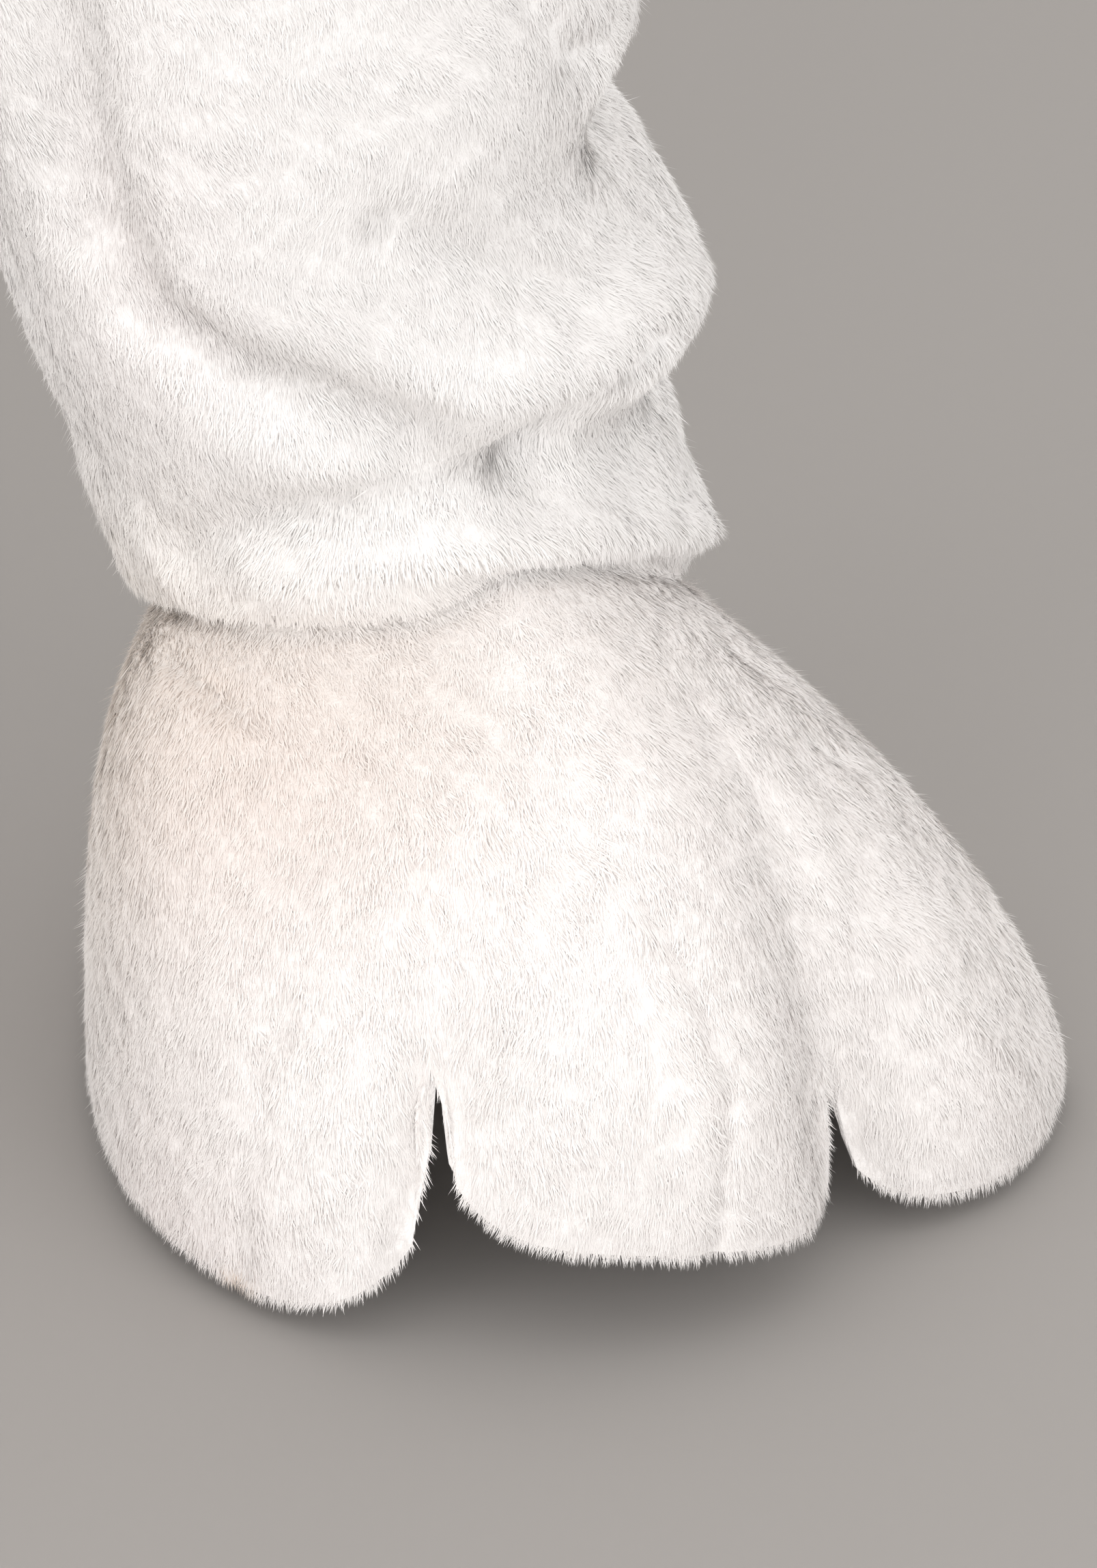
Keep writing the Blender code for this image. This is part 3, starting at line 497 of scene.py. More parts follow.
def inside_mitt(shrink):
    alongs = np.linspace(-20, MITT_TIP - 4, TUBE_STOPS)
    return inside_tube(arm_line(WRIST + alongs), mitt_sizes(alongs), shrink)


def inside_thumb(shrink):
    start, way, _side, _above = thumb_frame()

    def test(points):
        off = points - start
        along = off @ way
        away = np.linalg.norm(off - along[..., None] * way, axis=-1)
        return (away < THUMB_RADIUS - shrink) & (along > 0) & (along < THUMB_LENGTH * THUMB_SHARE)

    return test


# ---- Folds and seams that are finer than the solids' own ----

# Name, depth (a ridge is less than 0), width, and the line: angles, and heights on the leg or shares of the
# way up the foot.
LEG_LINES = (
    ("over the pocket", 5.0, 5, ((62, 263), (52, 257), (46, 249), (43, 243))),
    ("faint drag line", 3.0, 8, ((20, 333), (35, 311), (48, 292))),
    ("soft ridge beside it", -1.5, 9, ((30, 340), (44, 322), (52, 300))),
    ("fold at the outer calf", 3.0, 8, ((50, 406), (51, 390), (54, 375), (60, 361))),
    ("notch in its end", 2.2, 6, ((57, 367), (65, 363))),
    ("roll along the hem", -3.0, 8, ((72, 184), (44, 207), (14, 213))),
    ("under the valley", -2.0, 10, ((-36, 300), (-22, 272), (-2, 256))),
    ("ripple over the hem", 2.0, 6, ((-30, 186), (-12, 200), (4, 204))),
    ("pile filling the hollow above the hem", -2.5, 12, ((-39, 198), (-15, 220), (10, 232))),
    ("its soft inner end", -2.5, 12, ((-44, 192), (-28, 208))),
    ("edge turned under at the outer ankle", 5.5, 9, ((58, 178), (74, 161), (96, 145))),
)
FOOT_LINES = (
    ("middle toe's seam", 1.6, 3.2, ((3, 0.46), (6, 0.38), (8.5, 0.21), (6, 0.09), (4.5, 0.0))),
    ("its proud side", -0.8, 6, ((0, 0.52), (3, 0.38), (5, 0.21), (2.5, 0.09), (1, 0.0))),
    ("inner toe's seam", 1.5, 3.2, ((-44.5, 0.41), (-49.5, 0.31), (-47.5, 0.25), (-52, 0.16), (-52.5, 0.0))),
    ("its proud side", -0.5, 7, ((-42.0, 0.41), (-47.0, 0.31), (-45.0, 0.25), (-49.5, 0.16), (-50, 0.0))),
    ("outer toe's ridge", -2.0, 4, ((37.5, 0.38), (41.5, 0.32), (48, 0.23), (53, 0.17))),
    ("over the middle toe", 2.2, 10, ((-26, 0.10), (-24.5, 0.32), (-22, 0.44), (-16, 0.53), (-6, 0.57))),
    ("middle toe's top", -1.5, 18, ((-14, 0.36), (-6, 0.46))),
    ("outer toe's proud side", -1.8, 7, ((31, 0.14), (31.5, 0.30), (34, 0.44), (37, 0.58), (34, 0.68))),
    ("beside the outer toe", 1.2, 7, ((26, 0.12), (26.5, 0.30), (28.5, 0.44), (31, 0.56), (27, 0.66))),
    ("ankle crease", 2.2, 4.5, ((-74, 0.90), (-62, 0.87), (-54, 0.84))),
    ("wrinkle", 1.8, 4.5, ((46, 0.84), (49, 0.80))),
    ("wrinkle below it", 1.8, 4.5, ((47, 0.68), (51, 0.64))),
)
LEG_RADIUS = 98.0
ANKLE_RADIUS, SPREAD_BELOW = 85.0, 75.0  # the foot's radius at the ankle, and how much more below


def trouser_lines(across, up):
    angle, height = trouser_place(across, up)
    return fold_depth(turn(angle), height, LEG_LINES, LEG_RADIUS) * (up < 2)


def foot_lines(across, up):
    radius = ANKLE_RADIUS + SPREAD_BELOW * (1 - np.clip(up, 0, 1))
    lines = [
        (name, depth, width, [(angle, share * COLUMN_LENGTH) for angle, share in line])
        for name, depth, width, line in FOOT_LINES
    ]
    return fold_depth(turn(across), up * COLUMN_LENGTH, lines, radius) * (up < 1)


def seams(columns, millimetres, depth, width):
    """The dip along both edges of a panel, whose columns are so many millimetres for each unit."""

    def relief(across, _up):
        away = np.minimum(across - columns[0], columns[-1] - across) * millimetres
        return depth * np.exp(-((away / width) ** 2))

    return relief


# ---- Skins ----


def grid_normals(points, closed, tip):
    if closed:
        wrapped = np.concatenate([points[:, -1:], points, points[:, :1]], axis=1)
        da = (wrapped[:, 2:] - wrapped[:, :-2]) / 2
    else:
        da = np.gradient(points, axis=1)
    du = np.gradient(points, axis=0)
    found = unit(np.cross(da, du))
    if np.sum(found * (points - points.mean(axis=1, keepdims=True))) < 0:
        found = -found
    for row, beside in tip:
        found[row] = unit(found[beside].mean(axis=0))
    return found


EDGE_REACH = 40.0  # from a free edge, beyond which a place's distance doesn't matter
SHARP_ANGLE = 55.0  # degrees between faces, from which an edge is shaded sharp
WELD, SLIVER = 1e-5, 1e-6  # metres: corners joined, and edges dropped


class Skin:
    """A grid of places on a piece's backing. Options: root (how deep it lies), relief (added to that), nap (1
    where the pile points up the rows), tip (rows that end in a point, each with the row beside it), edge (the
    free row), leave_out (tests for places to leave open) and tint."""

    def __init__(self, name, surface, across, up, closed=False, mirror=False, **options):
        self.name, self.closed, self.mirror, self.options = name, closed, mirror, options
        self.across, self.up = np.meshgrid(across, up)
        points = surface(self.across, self.up)
        self.tip = options.get("tip", ())
        normals = grid_normals(points, closed, self.tip)
        depth = np.full(self.across.shape, options.get("root", ROOT))
        relief = options.get("relief")
        if relief is not None:
            depth = depth + relief(self.across, self.up)
        self.points = points - normals * depth[..., None]
        self.normals = grid_normals(self.points, closed, self.tip)
        step, turning = np.gradient(self.points, axis=0), np.gradient(self.normals, axis=0)
        self.nap = unit(step * options.get("nap", -1))
        self.hollow = -(turning * step).sum(axis=-1) / np.maximum((step * step).sum(axis=-1), 1e-6)
        self.find_cells()

    def edge_room(self, places):
        room = np.full(len(places), np.inf)
        if "edge" not in self.options:
            return room
        line = self.points[self.options["edge"]]
        for a, b in zip(line, line[1:]):
            run = b - a
            close = np.flatnonzero(np.abs(places - a).max(axis=1) < EDGE_REACH + np.linalg.norm(run))
            off = places[close] - a
            along = np.clip(off @ run / max(run @ run, 1e-9), 0, 1)
            room[close] = np.minimum(room[close], np.linalg.norm(off - along[:, None] * run, axis=1))
        return room

    def find_cells(self):
        rows, columns = self.across.shape
        last = columns if self.closed else columns - 1
        r, c = (a.ravel() for a in np.meshgrid(np.arange(rows - 1), np.arange(last), indexing="ij"))
        here, below, d = r * columns, (r + 1) * columns, (c + 1) % columns
        corners = np.stack([here + c, here + d, below + d, below + c], axis=1)
        middles = self.points.reshape(-1, 3)[corners].mean(axis=1)
        keep = np.ones(len(corners), bool)
        for test in self.options.get("leave_out", ()):
            keep &= ~test(middles)
        self.cells = corners[keep]
        self.middles = middles[keep]

    def build(self, finish, thick=BACKING):
        points, normals = self.points.reshape(-1, 3), self.normals.reshape(-1, 3)
        inner = points - normals * thick
        used = np.unique(self.cells)
        place = np.full(len(points), -1)
        place[used] = np.arange(len(used))
        outer_faces = place[self.cells]
        p = points[self.cells]
        facing = np.cross(p[:, 2] - p[:, 0], p[:, 3] - p[:, 1])
        out = normals[self.cells].mean(axis=1)
        if np.sum(facing * out) < 0:
            outer_faces = outer_faces[:, ::-1]
        count = len(used)
        sides = np.concatenate([outer_faces[:, [k, (k + 1) % 4]] for k in range(4)])
        key = np.sort(sides, axis=1)
        _, first, uses = np.unique(key, axis=0, return_index=True, return_counts=True)
        rim = sides[first[uses == 1]]
        rim = rim[rim[:, 0] != rim[:, 1]]
        walls = np.stack([rim[:, 1], rim[:, 0], rim[:, 0] + count, rim[:, 1] + count], axis=1)
        faces = np.concatenate([outer_faces, outer_faces[:, ::-1] + count, walls])
        corners = metres(np.concatenate([points[used], inner[used]]), self.mirror)
        if self.mirror:
            faces = faces[:, ::-1]
        made = mesh_object(self.name, corners, faces, finish)
        paint(made.data, tones(np.concatenate([points[used], inner[used]])) * self.options.get("tint", 1))
        weld(made.data)
        made.data.shade_smooth()
        made.data.set_sharp_from_angle(angle=math.radians(SHARP_ANGLE))
        return made


def paint(mesh, colours):
    values = np.ones((len(colours), 4), np.float32)
    values[:, :3] = colours
    layer = mesh.color_attributes.new("strand", "FLOAT_COLOR", "POINT")
    layer.data.foreach_set("color", values.ravel())


def weld(mesh):
    bm = bmesh.new()
    bm.from_mesh(mesh)
    bmesh.ops.remove_doubles(bm, verts=bm.verts, dist=WELD)
    bmesh.ops.dissolve_degenerate(bm, edges=bm.edges, dist=SLIVER)
    bm.to_mesh(mesh)
    bm.free()


def mesh_object(name, corners, faces, finish):
    mesh = bpy.data.meshes.new(name)
    size = faces.shape[1]
    mesh.vertices.add(len(corners))
    mesh.vertices.foreach_set("co", np.ascontiguousarray(corners, dtype=np.float32).ravel())
    mesh.loops.add(faces.size)
    mesh.loops.foreach_set("vertex_index", np.ascontiguousarray(faces, dtype=np.int32).ravel())
    mesh.polygons.add(len(faces))
    mesh.polygons.foreach_set("loop_start", np.arange(0, faces.size, size, dtype=np.int32))
    mesh.update(calc_edges=True)
    mesh.validate()
    mesh.materials.append(finish)
    made = bpy.data.objects.new(name, mesh)
    bpy.context.scene.collection.objects.link(made)
    return made


# ---- Pile ----

WAVES = 7  # plane waves in a noise
CLEARANCE = 1.5  # between the lowest strands and the floor
ROOT_DEPTH = 0.8  # of a strand in the backing
SWIRLS = ((13, 60), (9, 17), (8, 6))  # degrees that strands turn together, over what length
LENGTH_RANGE, WIDTH_RANGE, FRINGE_RANGE = (0.65, 1.15), (0.7, 1.3), (0.4, 1.3)  # shares of the given sizes
LENGTH_WAVE, LENGTH_WAVELENGTH = 0.1, 11
LIFT_WAVE, LIFT_WAVELENGTH, LIFT_SPREAD = 2.5, 14, 2.2  # degrees
RISE_LEAST, RISE_MOST, LEAN_SPREAD = 0.05, 1.35, 0.14  # radians
STRAY, STRAY_LIFT, STRAY_LENGTH, STRAY_WIDTH = 0.045, (8, 35), 0.8, 0.38  # the share that stray, and how
FINE_WITHIN, FINEST = 14.0, 0.45  # near a free edge the strands are finer
HOLLOW_MOST, HOLLOW_LIFT = 0.12, 0.6  # how far strands rise over a hollow
LIFTED_LENGTH = 6.0  # a longer strand rises no more than this one
ROUGHNESS, NAP_SHADE = 0.04, 0.08  # the shading's lean, at random and along the nap
BRIGHT_SPREAD, BRIGHT_WAVE, BRIGHT_WAVELENGTH = 0.010, 0.006, 25
BRIGHT_LEAST, BRIGHT_MOST = 0.9, 1.04
CLOSE_HEIGHTS, CLOSE_SIDES = (400, 500), (40, 90)  # between which the photograph's close look fades

# The brown is a stain at the inner toe's hem and also faint painted shade in the ankle crease.
CREAM, BLUSH, BROWN_STAIN_AND_SHADE = (0.990, 0.962, 0.925), (0.985, 0.962, 0.958), (0.80, 0.66, 0.52)
# The first is a warmer tone with painted shade that darkens the foot's top; the second is the feet's own
# warmer white.
TOP_WARMTH_AND_SHADE, FOOT_WHITE = (0.940, 0.910, 0.900), (0.990, 0.977, 0.971)
# Each tint, some of them painted shade, and the spots that have it: how much, the middle and the half
# sizes. Cream lies on the foot's inner side, blush in the leg's hollow and on the inner toe, a warmer tone
# with painted shade on the foot's top, and brown as a stain at the inner toe's seam and as faint painted
# shade in the ankle crease.
TINTS_AND_PAINTED_SHADE = (
    (CREAM, ((1.0, (200, -50, 120), (42, 70, 75)), (0.7, (262, -105, 150), (60, 50, 45)))),
    (BLUSH, ((1.0, (205, -60, 330), (32, 50, 90)), (0.7, (205, -170, 20), (35, 60, 40)))),
    # painted shade, with a warmer tone, over the foot's top
    (TOP_WARMTH_AND_SHADE, ((1.0, (240, -120, 140), (75, 60, 50)),)),
    # a brown stain at the inner toe's seam, then faint brown painted shade along the ankle crease
    (BROWN_STAIN_AND_SHADE, ((1.0, (223, -192, 8), (6, 7, 5)), (0.12, (216, -90, 163), (9, 9, 3)))),
)


def waves(rng, wavelength, points):
    """Smooth seeded noise, about -1 to 1, from a sum of plane waves of about one length."""
    ways = unit(rng.normal(size=(WAVES, 3))) * (2 * math.pi / wavelength) * rng.uniform(0.7, 1.4, (WAVES, 1))
    phases = rng.uniform(0, 2 * math.pi, WAVES)
    return np.sin(points @ ways.T + phases).sum(axis=-1) / math.sqrt(WAVES)


def looked_at(points):
    """1 where the photograph looks closely at the costume, falling to 0 away from it."""
    return (1 - smooth(*CLOSE_HEIGHTS, points[..., 2])) * smooth(*CLOSE_SIDES, points[..., 0])


def tones(places):
    """The plush's tint at each place, with painted shade on the foot's top and in the ankle crease."""
    white = np.ones((len(places), 3))
    for tint, spots in TINTS_AND_PAINTED_SHADE:
        amount = np.zeros(len(places))
        for much, middle, sizes in spots:
            amount += much * np.exp(-(((places - middle) / sizes) ** 2).sum(axis=1))
        white *= 1 - amount.clip(0, 1)[:, None] * (1 - np.array(tint))
    return white


def scattered(rng, areas, density):
    """The cell of each strand, evenly spread over the cells."""
    share = np.cumsum(areas * density)
    count = int(round((areas * density).sum()))
    chosen = np.searchsorted(share, (np.arange(count) + rng.uniform(0, 1, count)) * share[-1] / count)
    return np.clip(chosen, 0, len(areas) - 1)


def pile(skin, finish, length, width, density, lift=5.5, spread=12.0, fringe=4.0, seed=0):
    """Strands on a skin. density, for each square millimetre, may be a function of places and normals, and
    length and width functions of it. lift is how steeply the strands stand and spread how much they turn, in
    degrees, and fringe how far they reach past a free edge."""
    rng = np.random.default_rng(SEED + seed)
    points, normals, naps = (a.reshape(-1, 3) for a in (skin.points, skin.normals, skin.nap))
    hollows = skin.hollow.reshape(-1, 1).clip(0, HOLLOW_MOST)
    cells = skin.cells
    p = points[cells]
    areas = np.linalg.norm(np.cross(p[:, 2] - p[:, 0], p[:, 3] - p[:, 1]), axis=1) / 2
    middles = skin.middles * ((-1, 1, 1) if skin.mirror else (1, 1, 1))
    if callable(density):
        density = density(middles, normals[cells].mean(axis=1))
    dense = np.broadcast_to(density, len(cells))
    chosen = scattered(rng, areas, dense)
    count = len(chosen)
    u, v = rng.uniform(0, 1, count)[:, None], rng.uniform(0, 1, count)[:, None]
    weights = ((1 - u) * (1 - v), u * (1 - v), u * v, (1 - u) * v)
    base, n, t, hollow = (
        sum(w * a[cells[chosen, k]] for k, w in enumerate(weights)) for a in (points, normals, naps, hollows)
    )
    n = unit(n)
    t = unit(t - n * np.einsum("ij,ij->i", t, n)[:, None])
    s = np.cross(n, t)
    swirl = sum(size * waves(rng, wavelength, base) for size, wavelength in SWIRLS)
    way = np.radians(swirl + rng.normal(0, spread, count))
    t = np.cos(way)[:, None] * t + np.sin(way)[:, None] * s
    straying = rng.uniform(0, 1, count) < STRAY
    rise = lift + LIFT_WAVE * waves(rng, LIFT_WAVELENGTH, base) + rng.normal(0, LIFT_SPREAD, count)
    rise = rise + straying * rng.uniform(*STRAY_LIFT, count)
    long, wide = (size(dense[chosen]) if callable(size) else size for size in (length, width))
    long = long * rng.uniform(*LENGTH_RANGE, count)
    long = long * (1 + LENGTH_WAVE * waves(rng, LENGTH_WAVELENGTH, base))
    long = long * np.where(straying, STRAY_LENGTH, 1)
    wide = wide * rng.uniform(*WIDTH_RANGE, count) * np.where(straying, STRAY_WIDTH, 1)
    room = skin.edge_room(base) + fringe * rng.uniform(*FRINGE_RANGE, count)
    wide = wide * np.clip(room / FINE_WITHIN, FINEST, 1)
    long = np.minimum(long, room)
    rise = np.radians(rise) + HOLLOW_LIFT * hollow[:, 0] * np.minimum(long, LIFTED_LENGTH)
    rise = rise.clip(RISE_LEAST, RISE_MOST)
    d = np.cos(rise)[:, None] * t + np.sin(rise)[:, None] * n
    across = unit(np.cross(n, d))
    lean = rng.normal(0, LEAN_SPREAD, count)
    across = np.cos(lean)[:, None] * across + np.sin(lean)[:, None] * np.cross(d, across)
    root = base - n * ROOT_DEPTH
    tips = base + d * long[:, None]
    left, right = root - across * wide[:, None] / 2, root + across * wide[:, None] / 2
    for places in (left, right, tips):
        places[:, 2] = np.maximum(places[:, 2], CLEARANCE)
    corners = np.stack([left, right, tips], axis=1)
    wrong = np.einsum("ij,ij->i", np.cross(right - left, tips - left), n) < 0
    corners[wrong] = corners[wrong][:, [1, 0, 2]]
    shade = unit(n + ROUGHNESS * across * rng.normal(0, 1, count)[:, None] + NAP_SHADE * t)
    bright = rng.normal(1.0, BRIGHT_SPREAD, count) + BRIGHT_WAVE * waves(rng, BRIGHT_WAVELENGTH, base)
    colour = tones(base) * skin.options.get("tint", 1) * bright.clip(BRIGHT_LEAST, BRIGHT_MOST)[:, None]
    corners = metres(corners, skin.mirror)
    if skin.mirror:
        corners = corners[:, ::-1]
        shade = shade * (-1, 1, 1)
    faces = np.arange(3 * count).reshape(-1, 3)
    made = mesh_object(skin.name + "_pile", corners.reshape(-1, 3), faces, finish)
    made.data.normals_split_custom_set_from_vertices(np.repeat(shade, 3, axis=0).tolist())
    paint(made.data, np.repeat(colour, 3, axis=0))
    return made


# ---- Materials ----


def new_material(name):
    made = bpy.data.materials.new(name)
    made.use_nodes = True
    return made, made.node_tree, made.node_tree.nodes["Principled BSDF"]


def set_values(node, values):
    for name, value in values.items():
        node.inputs[name].default_value = value


def noise(tree, scale, detail=2.0):
    place, made = tree.nodes.new("ShaderNodeTexCoord"), tree.nodes.new("ShaderNodeTexNoise")
    set_values(made, {"Scale": scale, "Detail": detail})
    tree.links.new(place.outputs["Object"], made.inputs["Vector"])
    return made.outputs["Fac"]


def colour_mix(tree, kind):
    made = tree.nodes.new("ShaderNodeMix")
    made.data_type, made.blend_type = "RGBA", kind
    return made


def two_tones(tree, share, first, second):
    """A colour between the first and the second, by the share that noise gives."""
    tone = colour_mix(tree, "MIX")
    tone.inputs[6].default_value, tone.inputs[7].default_value = (*first, 1), (*second, 1)
    tree.links.new(share, tone.inputs[0])
    return tone.outputs[2]


def tinted_by_strand(tree, colour):
    strand, tinted = tree.nodes.new("ShaderNodeAttribute"), colour_mix(tree, "MULTIPLY")
    strand.attribute_name = "strand"
    tinted.inputs[0].default_value = 1.0
    tree.links.new(colour, tinted.inputs[6])
    tree.links.new(strand.outputs["Color"], tinted.inputs[7])
    return tinted.outputs[2]


def plush_material(name, colour, shadow, sheen):
    """Pile: each strand's tint, painted shade on the foot included, over soft patches of a second tone."""
    made, tree, shader = new_material(name)
    tone = two_tones(tree, noise(tree, 9.0, 3.0), colour, shadow)
    tree.links.new(tinted_by_strand(tree, tone), shader.inputs["Base Color"])
    set_values(shader, {"Roughness": 0.9, "Specular IOR Level": 0.2})
    set_values(shader, {"Sheen Weight": sheen, "Sheen Roughness": 0.4})
    return made


def backing_material(name, colour, shadow):
    """The knitted ground that the pile grows from: short streaks, mostly hidden."""
    made, tree, shader = new_material(name)
    streaks = noise(tree, 900.0)
    tone = two_tones(tree, streaks, shadow, colour)
    tree.links.new(tinted_by_strand(tree, tone), shader.inputs["Base Color"])
    bump = tree.nodes.new("ShaderNodeBump")
    set_values(bump, {"Strength": 0.5, "Distance": MILLIMETRE})
    tree.links.new(streaks, bump.inputs["Height"])
    tree.links.new(bump.outputs["Normal"], shader.inputs["Normal"])
    set_values(shader, {"Roughness": 0.95, "Specular IOR Level": 0.15, "Sheen Weight": 0.2})
    return made


def eye_material():
    made, tree, shader = new_material("black_gloss")
    rough = tree.nodes.new("ShaderNodeMapRange")
    set_values(rough, {"To Min": 0.08, "To Max": 0.2})
    tree.links.new(noise(tree, 60.0), rough.inputs["Value"])
    tree.links.new(rough.outputs[0], shader.inputs["Roughness"])
    set_values(shader, {"Base Color": (0.012, 0.011, 0.012, 1), "Coat Weight": 0.6})
    return made


def floor_material():
    made, tree, shader = new_material("pale_floor")
    tone = two_tones(tree, noise(tree, 0.6), (0.386, 0.366, 0.351), (0.392, 0.372, 0.357))
    tree.links.new(tone, shader.inputs["Base Color"])
    set_values(shader, {"Roughness": 1.0, "Specular IOR Level": 0.0})
    return made


white_pile = plush_material("white_pile", (0.985, 0.969, 0.957), (0.982, 0.963, 0.950), 0.1)
white_backing = backing_material("white_backing", (0.97, 0.955, 0.945), (0.95, 0.93, 0.92))
pink_pile = plush_material("pink_pile", (0.86, 0.56, 0.54), (0.80, 0.48, 0.47), 0.15)
pink_backing = backing_material("pink_backing", (0.80, 0.50, 0.48), (0.72, 0.42, 0.41))
velvet_pile = plush_material("velvet_pile", (0.72, 0.33, 0.34), (0.64, 0.27, 0.29), 0.3)
velvet_backing = backing_material("velvet_backing", (0.62, 0.28, 0.29), (0.52, 0.22, 0.23))
black_gloss = eye_material()


# ---- The pieces ----


def steps(*stops):
    """Values from one stop to the next, each stop being (value, steps to the next)."""
    values = []
    for (start, count), (end, _) in zip(stops, stops[1:]):
        values += [start + (end - start) * k / count for k in range(count)]
    return np.array(values + [stops[-1][0]])


REST, CLOSE, BEHIND = 0.115, 1.6, 0.10  # strands for each square mm, and the share left on the far side
LOOKED_FROM = (0.0, -0.848, 0.530)
FACING = (-0.45, 0.1)  # between which a surface turns from the far side to the near one
LENGTH_REST, LENGTH_DROP, SHORT_AT = 13.0, 4.5, 0.7  # the strands are shorter where they are denser
WIDTH_REST, WIDTH_DROP, FINE_AT = 2.4, 1.4, 1.2


def fur_density(middles, normals):
    """Strands for each square millimetre: most where the photograph looks, fewer behind."""
    facing = smooth(*FACING, normals @ np.array(LOOKED_FROM))
    return REST + (CLOSE - REST) * looked_at(middles) * (BEHIND + (1 - BEHIND) * facing)


def strand_length(density):
    return LENGTH_REST - LENGTH_DROP * smooth(REST, SHORT_AT, density)


def strand_width(density):
    return WIDTH_REST - WIDTH_DROP * smooth(REST, FINE_AT, density) ** 0.5


SIDES = (("left", False), ("right", True))
FUR = dict(length=strand_length, width=strand_width, density=fur_density)
# What a piece's name ends in, its slot, its backing and its pile.
WHITE = ("plush", "plush", white_backing, white_pile)
PINK = ("plush", "pink_plush", pink_backing, pink_pile)
VELVET = ("velvet", "nose", velvet_backing, velvet_pile)
GLOSS = ("gloss", "eye", black_gloss, None)


def dress(
    node, surface, across, up, looks=WHITE, flat=None, held="stretched", rests_on=(), pad=None, thick=BACKING,
    fur=FUR, seed=0, **options
):
    """Builds a node's backing and pile. flat is a sheet's width, length and area, and is not used."""
    ending, slot, backing, strands = looks
    skin = Skin(f"{node}_{ending}", surface, across, up, **options)
    cloth = skin.build(backing, thick)
    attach(cloth, "root")
    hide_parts(node)
    if fur:
        hair = pile(skin, strands, seed=seed, **fur)
        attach(hair, "root")


# How far up its leg or foot column the backing starts, so that the pile ends at the solid's edge.
HEM_EDGE, FOOT_EDGE = 0.002, 0.017
HEM_FRINGE = 5.5
# The millimetres for each unit across, and the dip's depth and width, along the panels' seams.
TROUSER_SEAM, BODICE_SEAM, MITT_SEAM = (300, 2.0, 5.0), (3.5, 2.0, 6.0), (1.1, 1.5, 4.0)
END = ((-1, -2),)  # the last row ends in a point
TROUSER_FLATS = {"front": (0.45, 1.00, 0.31), "back": (0.45, 1.00, 0.36)}


def ring(count):
    return steps((0, count), (360, 0))[:-1]


# The columns and rows lie closest on the left leg and foot, where the photograph looks.


def make_trousers():
    for side, mirror in SIDES:
        if mirror:
            columns = {"front": steps((0, 26), (1, 0)), "back": steps((1, 24), (2, 0))}
            up = steps((0, 16), (1, 26), (2, 14), (3, 7), (4, 0))
        else:
            columns = {"front": steps((0, 84), (1, 0)), "back": steps((1, 40), (2, 0))}
            up = steps((0, 50), (1, 20), (1.22, 30), (2, 14), (3, 7), (4, 0))
        up[0] = HEM_EDGE
        for name, across in columns.items():
            seam = seams(across, *TROUSER_SEAM)
            dress(
                f"trouser_{name}_{side}", trouser_surface, across, up, mirror=mirror, edge=0,
                relief=lambda a, u, seam=seam: seam(a, u) + trouser_lines(a, u), flat=TROUSER_FLATS[name],
                held="hung", rests_on=["bodice_front_plush"], seed=len(name) + 10 * mirror,
                fur=dict(FUR, fringe=HEM_FRINGE)
            )


def make_bodice():
    up = np.concatenate([np.linspace(WAIST, 1402, 34), np.linspace(1414, 1490, 7)])
    left_sleeve = inside_sleeve(TUCKED)
    holes = [left_sleeve, lambda points: left_sleeve(points * (-1, 1, 1))]
    panels = (
        ("bodice_front", steps((-90, 44), (90, 0)), (0.64, 0.56, 0.27)),
        ("bodice_back_left", steps((90, 24), (180, 0)), (0.32, 0.56, 0.13)),
        ("bodice_back_right", steps((180, 24), (270, 0)), (0.32, 0.56, 0.13)),
    )
    for k, (name, across, flat) in enumerate(panels):
        relief = seams(across, *BODICE_SEAM)
        dress(name, torso_surface, across, up, leave_out=holes, relief=relief, flat=flat, seed=20 + k)


def make_sleeves():
    for side, mirror in SIDES:
        dress(
            f"sleeve_{side}", sleeve_surface, ring(44), np.linspace(60, WRIST, 46), closed=True,
            mirror=mirror, nap=1, leave_out=[inside_oval(TORSO, TUCKED)], flat=(0.50, 0.60, 0.24),
            seed=30 + mirror
        )


def make_mitts():
    up = np.concatenate([[-CUFF_TUCK, -12], np.linspace(0, 176, 20), [181, 185, 188, 190, 191.3, MITT_TIP]])
    thumb_up = np.concatenate([np.linspace(0.08, 0.9, 14), [0.94, 0.97, 0.99, 1.0]])
    for side, mirror in SIDES:
        for name, start in (("back", 0), ("palm", 180)):
            across = start + steps((0, 24), (180, 0))
            dress(
                f"mitt_{name}_{side}", mitt_surface, across, up, mirror=mirror, nap=1, tip=END,
                leave_out=[inside_thumb(TUCKED_THUMB)], relief=seams(across, *MITT_SEAM),
                flat=(0.19, 0.26, 0.038), seed=40 + start + mirror
            )
        dress(
            f"mitt_thumb_{side}", thumb_surface, ring(24), thumb_up, closed=True, mirror=mirror, nap=1,
            tip=END, leave_out=[inside_mitt(TUCKED_THUMB)], flat=(0.14, 0.12, 0.0085), seed=45 + mirror
        )


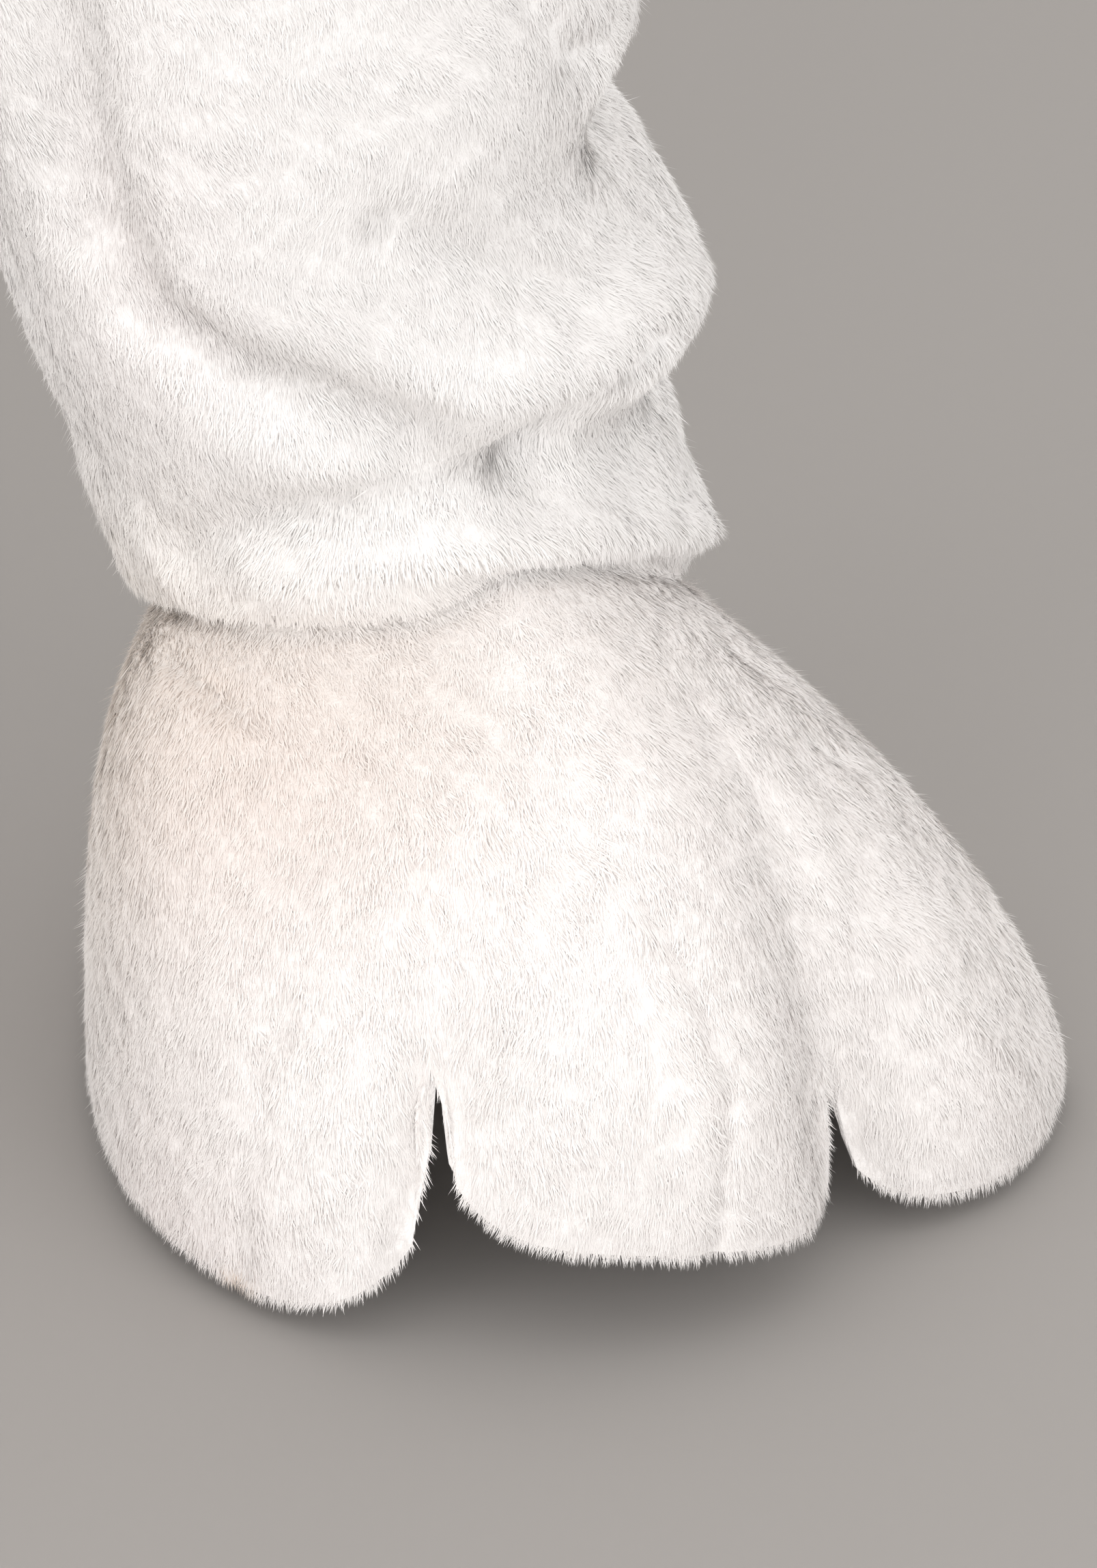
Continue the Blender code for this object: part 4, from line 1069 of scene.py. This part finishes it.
def make_feet():
    for side, mirror in SIDES:
        if mirror:
            inner = steps((-180, 24), (-60, 8), (-32, 8), (-22, 8), (0, 0))
            outer = steps((0, 8), (26, 8), (36, 6), (60, 20), (180, 0))
            up = np.concatenate([steps((FOOT_EDGE, 22), (1, 0)), [1.4, 2.0]])
        else:
            inner = steps((-180, 28), (-110, 30), (-60, 30), (-34, 20), (-18, 16), (0, 0))
            outer = steps((0, 18), (12, 10), (22, 20), (38, 20), (58, 28), (110, 26), (180, 0))
            up = np.concatenate([steps((FOOT_EDGE, 60), (1, 0)), [1.15, 1.5, 2.0]])
        for k, (name, across) in enumerate((("inner", inner), ("outer", outer))):
            dress(
                f"foot_{name}_{side}", foot_surface, across, up, mirror=mirror, relief=foot_lines, root=3.0,
                edge=0, tint=FOOT_WHITE, flat=(0.58, 0.26, 0.075), held="hung",
                rests_on=[f"trouser_front_{side}_plush"], seed=50 + len(side) + k
            )


def make_head():
    up = np.concatenate([np.linspace(1432, 1800, 34), [1806, 1810, 1813, 1814.6, 1815.6, HEAD_TOP]])
    ear_up = np.concatenate([np.linspace(0, 290, 38), [296, 301, 305, 308, 309.3, EAR_TIP]])
    lining_up = np.linspace(LINING_FROM, LINING_TO, 52)
    eye = ball_surface((66, -168, 1658), (22, 18, 34))
    muzzle = ball_surface((0, -166, 1578), (74, 52, 50))
    nose = ball_surface((0, -214, 1604), (22, 14, 15))
    skull = inside_oval(HEAD, TUCKED)
    for side, mirror in SIDES:
        dress(
            f"head_{side}", head_surface, steps((0, 40), (180, 0)), up, mirror=mirror, tip=END,
            leave_out=[inside_oval(TORSO, COLLAR)], flat=(0.60, 0.53, 0.23), thick=6.0, seed=60 + mirror
        )
        dress(
            f"ear_{side}", ear_surface, ring(40), ear_up, closed=True, mirror=mirror, nap=1, tip=END,
            root=3.0, leave_out=[skull], pad=0.7, seed=62 + mirror
        )
        dress(
            f"ear_lining_{side}", lining_surface, steps((-1, 26), (1, 0)), lining_up, PINK, mirror=mirror,
            nap=1, root=2.2, leave_out=[skull, past_round_end], flat=(0.105, 0.215, 0.020), thick=1.0,
            seed=64 + mirror, fur=dict(length=8.0, width=1.2, density=0.5, lift=16.0)
        )
        dress(
            f"eye_{side}", eye, ring(48), -steps((0, 4), (30, 14), (88, 1), (90, 0)), GLOSS, closed=True,
            mirror=mirror, tip=END, root=0.0, thick=3.0, fur=None
        )
    dress(
        "muzzle", muzzle, ring(56), -steps((0, 22), (88, 1), (90, 0)), closed=True, tip=END,
        leave_out=[skull], pad=0.8, seed=70
    )
    dress(
        "nose", nose, ring(40), -steps((-30, 20), (88, 1), (90, 0)), VELVET, closed=True, tip=END, root=1.2,
        pad=0.9, thick=1.5, seed=71, fur=dict(length=3.0, width=0.6, density=1.6, lift=30.0)
    )


def make_tail():
    dress(
        "tail", ball_surface((0, 224, 956), (58, 56, 52)), ring(48), steps((-60, 26), (88, 1), (90, 0)),
        closed=True, tip=END, root=6.0, leave_out=[inside_oval(TORSO, TUCKED)], pad=0.9, seed=80,
        fur=dict(length=15.0, width=1.8, density=0.45, lift=18.0, spread=45.0)
    )


# ---- Floor, light and camera ----


# In metres and watts from here on.
FLOOR_HALF = 9.0
SKY, SKY_STRENGTH = (1.0, 0.985, 0.97, 1), 0.98
# Each light's name, place, what it is aimed at, size and power.
LIGHTS = (
    ("key", (-0.4, -4.4, -0.5), (0.3, 0, -1.2), 2.4, 40),
    ("fill", (2.4, -2.6, 0.0), (0.2, 0, -1.0), 2.6, 26),
    ("low_fill", (-2.6, -2.8, -0.6), (0.2, 0, -1.25), 2.2, 36),
)
AIM = Vector((0.3197, -0.100, -1.2987))
ELEVATION, DISTANCE, FARTHEST = 32.0, 5.0, 50.0
FRAME_HEIGHT = 0.4783  # that the picture spans at the aim
SENSOR = 36.0  # in millimetres


def make_stage():
    corners = FLOOR_HALF * np.array([(-1, -1, 0), (1, -1, 0), (1, 1, 0), (-1, 1, 0)])
    ground = (0, 0, -SHOULDER_HEIGHT * MILLIMETRE)
    floor = mesh_object("floor", corners + ground, np.array([[0, 1, 2, 3]]), floor_material())
    world = bpy.data.worlds.new("studio")
    bpy.context.scene.world = world
    world.use_nodes = True
    set_values(world.node_tree.nodes["Background"], {"Color": SKY, "Strength": SKY_STRENGTH})


def place_towards(made, place, way):
    made.location = place
    made.rotation_euler = way.to_track_quat("-Z", "Y").to_euler()
    bpy.context.scene.collection.objects.link(made)


def make_light(name, place, aim, size, power):
    light = bpy.data.lights.new(name, "AREA")
    light.shape = "DISK"
    light.size = size
    light.energy = power
    place_towards(bpy.data.objects.new(name, light), place, Vector(aim) - Vector(place))


def make_camera():
    data = bpy.data.cameras.new("camera")
    data.sensor_fit = "VERTICAL"
    data.sensor_height = SENSOR
    data.lens = SENSOR * DISTANCE / FRAME_HEIGHT
    data.clip_end = FARTHEST
    made = bpy.data.objects.new("camera", data)
    back = Vector((0, -math.cos(math.radians(ELEVATION)), math.sin(math.radians(ELEVATION))))
    place_towards(made, AIM + back * DISTANCE, -back)
    bpy.context.scene.camera = made


bpy.context.scene.view_settings.view_transform = "Standard"
make_camera()
make_stage()
for light in LIGHTS:
    make_light(*light)
make_trousers()
make_bodice()
make_sleeves()
make_mitts()
make_feet()
make_head()
make_tail()
